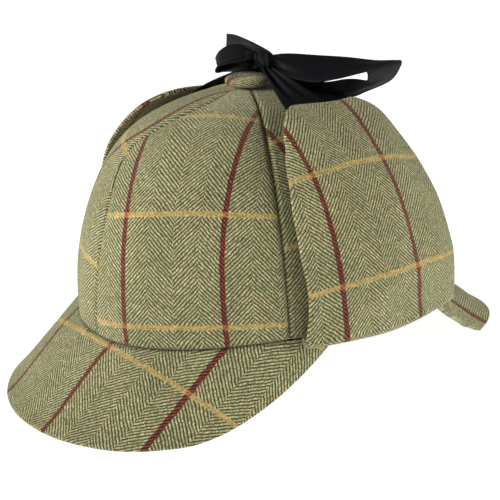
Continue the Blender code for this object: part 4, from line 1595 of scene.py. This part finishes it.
def build_light(scene, look):
    """White light from all round that fades overhead, and two large soft lamps."""
    world = bpy.data.worlds.new("studio_light")
    world.use_nodes = True
    nodes = Nodes(world.node_tree)
    background = world.node_tree.nodes["Background"].inputs
    direction = nodes.new("ShaderNodeTexCoord")["Generated"]
    height = nodes.new("ShaderNodeSeparateXYZ", {0: direction})["Z"]
    strength = nodes.spread(height, 0.0, 1.0, look.sky_strength, 0.0)
    nodes.feed(background, {"Color": (1.0, 1.0, 1.0, 1.0), "Strength": strength})
    scene.world = world
    for name, place, share in LIGHTS:
        lamp = bpy.data.lights.new(name, "AREA")
        lamp.shape = "DISK"
        lamp.size = LIGHT_SIZE
        lamp.energy = look.key_power * share
        holder = bpy.data.objects.new(name, lamp)
        holder.location = place
        holder.visible_camera = False
        holder.rotation_euler = (LIGHT_AIM - place).to_track_quat("-Z", "Y").to_euler()
        scene.collection.objects.link(holder)


def build_camera(scene):
    forward = Vector((
        -sin(CAMERA_AZIMUTH) * cos(CAMERA_DIP),
        cos(CAMERA_AZIMUTH) * cos(CAMERA_DIP),
        -sin(CAMERA_DIP),
    ))
    level = Vector((cos(CAMERA_AZIMUTH), sin(CAMERA_AZIMUTH), 0.0))
    upright = level.cross(forward)
    right = level * cos(CAMERA_ROLL) + upright * sin(CAMERA_ROLL)
    up = upright * cos(CAMERA_ROLL) - level * sin(CAMERA_ROLL)
    view = bpy.data.cameras.new("studio_camera")
    view.sensor_width = CAMERA_SENSOR
    view.lens = CAMERA_LENS
    camera = bpy.data.objects.new("studio_camera", view)
    camera.rotation_euler = Matrix((right, up, -forward)).transposed().to_euler()
    camera.location = CAMERA_PLACE
    scene.collection.objects.link(camera)
    scene.camera = camera


class HAT_OT_studio(bpy.types.Operator):
    """Build the plain floor, soft light and camera"""
    bl_idname = "hat.studio"
    bl_label = "Studio"

    def execute(self, context):
        scene = context.scene
        build_floor(scene, scene.hat_studio)
        build_light(scene, scene.hat_studio)
        build_camera(scene)
        scene.view_settings.view_transform = "Standard"
        return {"FINISHED"}


class HAT_PT_workshop(bpy.types.Panel):
    """The hat's pieces and settings"""
    bl_idname = "HAT_PT_workshop"
    bl_label = "Deerstalker Hat"
    bl_space_type = "VIEW_3D"
    bl_region_type = "UI"
    bl_category = "Hat"

    def draw(self, context):
        layout = self.layout
        scene = context.scene
        for title, settings in (
            ("Tweed", scene.hat_tweed), ("Ribbon and lining", scene.hat_ribbon),
            ("Sewing", scene.hat_sewing), ("Studio", scene.hat_studio),
        ):
            box = layout.box()
            box.label(text=title)
            for name in settings.__annotations__:
                box.prop(settings, name)
        for operator in OPERATORS:
            layout.operator(operator.bl_idname)


SETTINGS = {
    "hat_tweed": HatTweedSettings,
    "hat_ribbon": HatRibbonSettings,
    "hat_sewing": HatSewingSettings,
    "hat_studio": HatStudioSettings,
}
OPERATORS = (
    HAT_OT_studio,
    HAT_OT_crown_panels,
    HAT_OT_crown_button,
    HAT_OT_front_peak,
    HAT_OT_back_peak,
    HAT_OT_ear_flaps,
    HAT_OT_ribbon_ties,
    HAT_OT_ribbon_bow,
    HAT_OT_ribbon_knot,
)


def register():
    for name, settings in SETTINGS.items():
        bpy.utils.register_class(settings)
        setattr(bpy.types.Scene, name, PointerProperty(type=settings))
    for operator in OPERATORS:
        bpy.utils.register_class(operator)
    bpy.utils.register_class(HAT_PT_workshop)


def unregister():
    bpy.utils.unregister_class(HAT_PT_workshop)
    for operator in reversed(OPERATORS):
        bpy.utils.unregister_class(operator)
    for name, settings in reversed(SETTINGS.items()):
        delattr(bpy.types.Scene, name)
        bpy.utils.unregister_class(settings)


def main():
    register()
    bpy.ops.hat.studio()
    bpy.ops.hat.crown_panels()
    bpy.ops.hat.crown_button()
    bpy.ops.hat.front_peak()
    bpy.ops.hat.back_peak()
    bpy.ops.hat.ear_flaps()
    bpy.ops.hat.ribbon_ties()
    bpy.ops.hat.ribbon_bow()
    bpy.ops.hat.ribbon_knot()


if __name__ == "__main__":
    main()
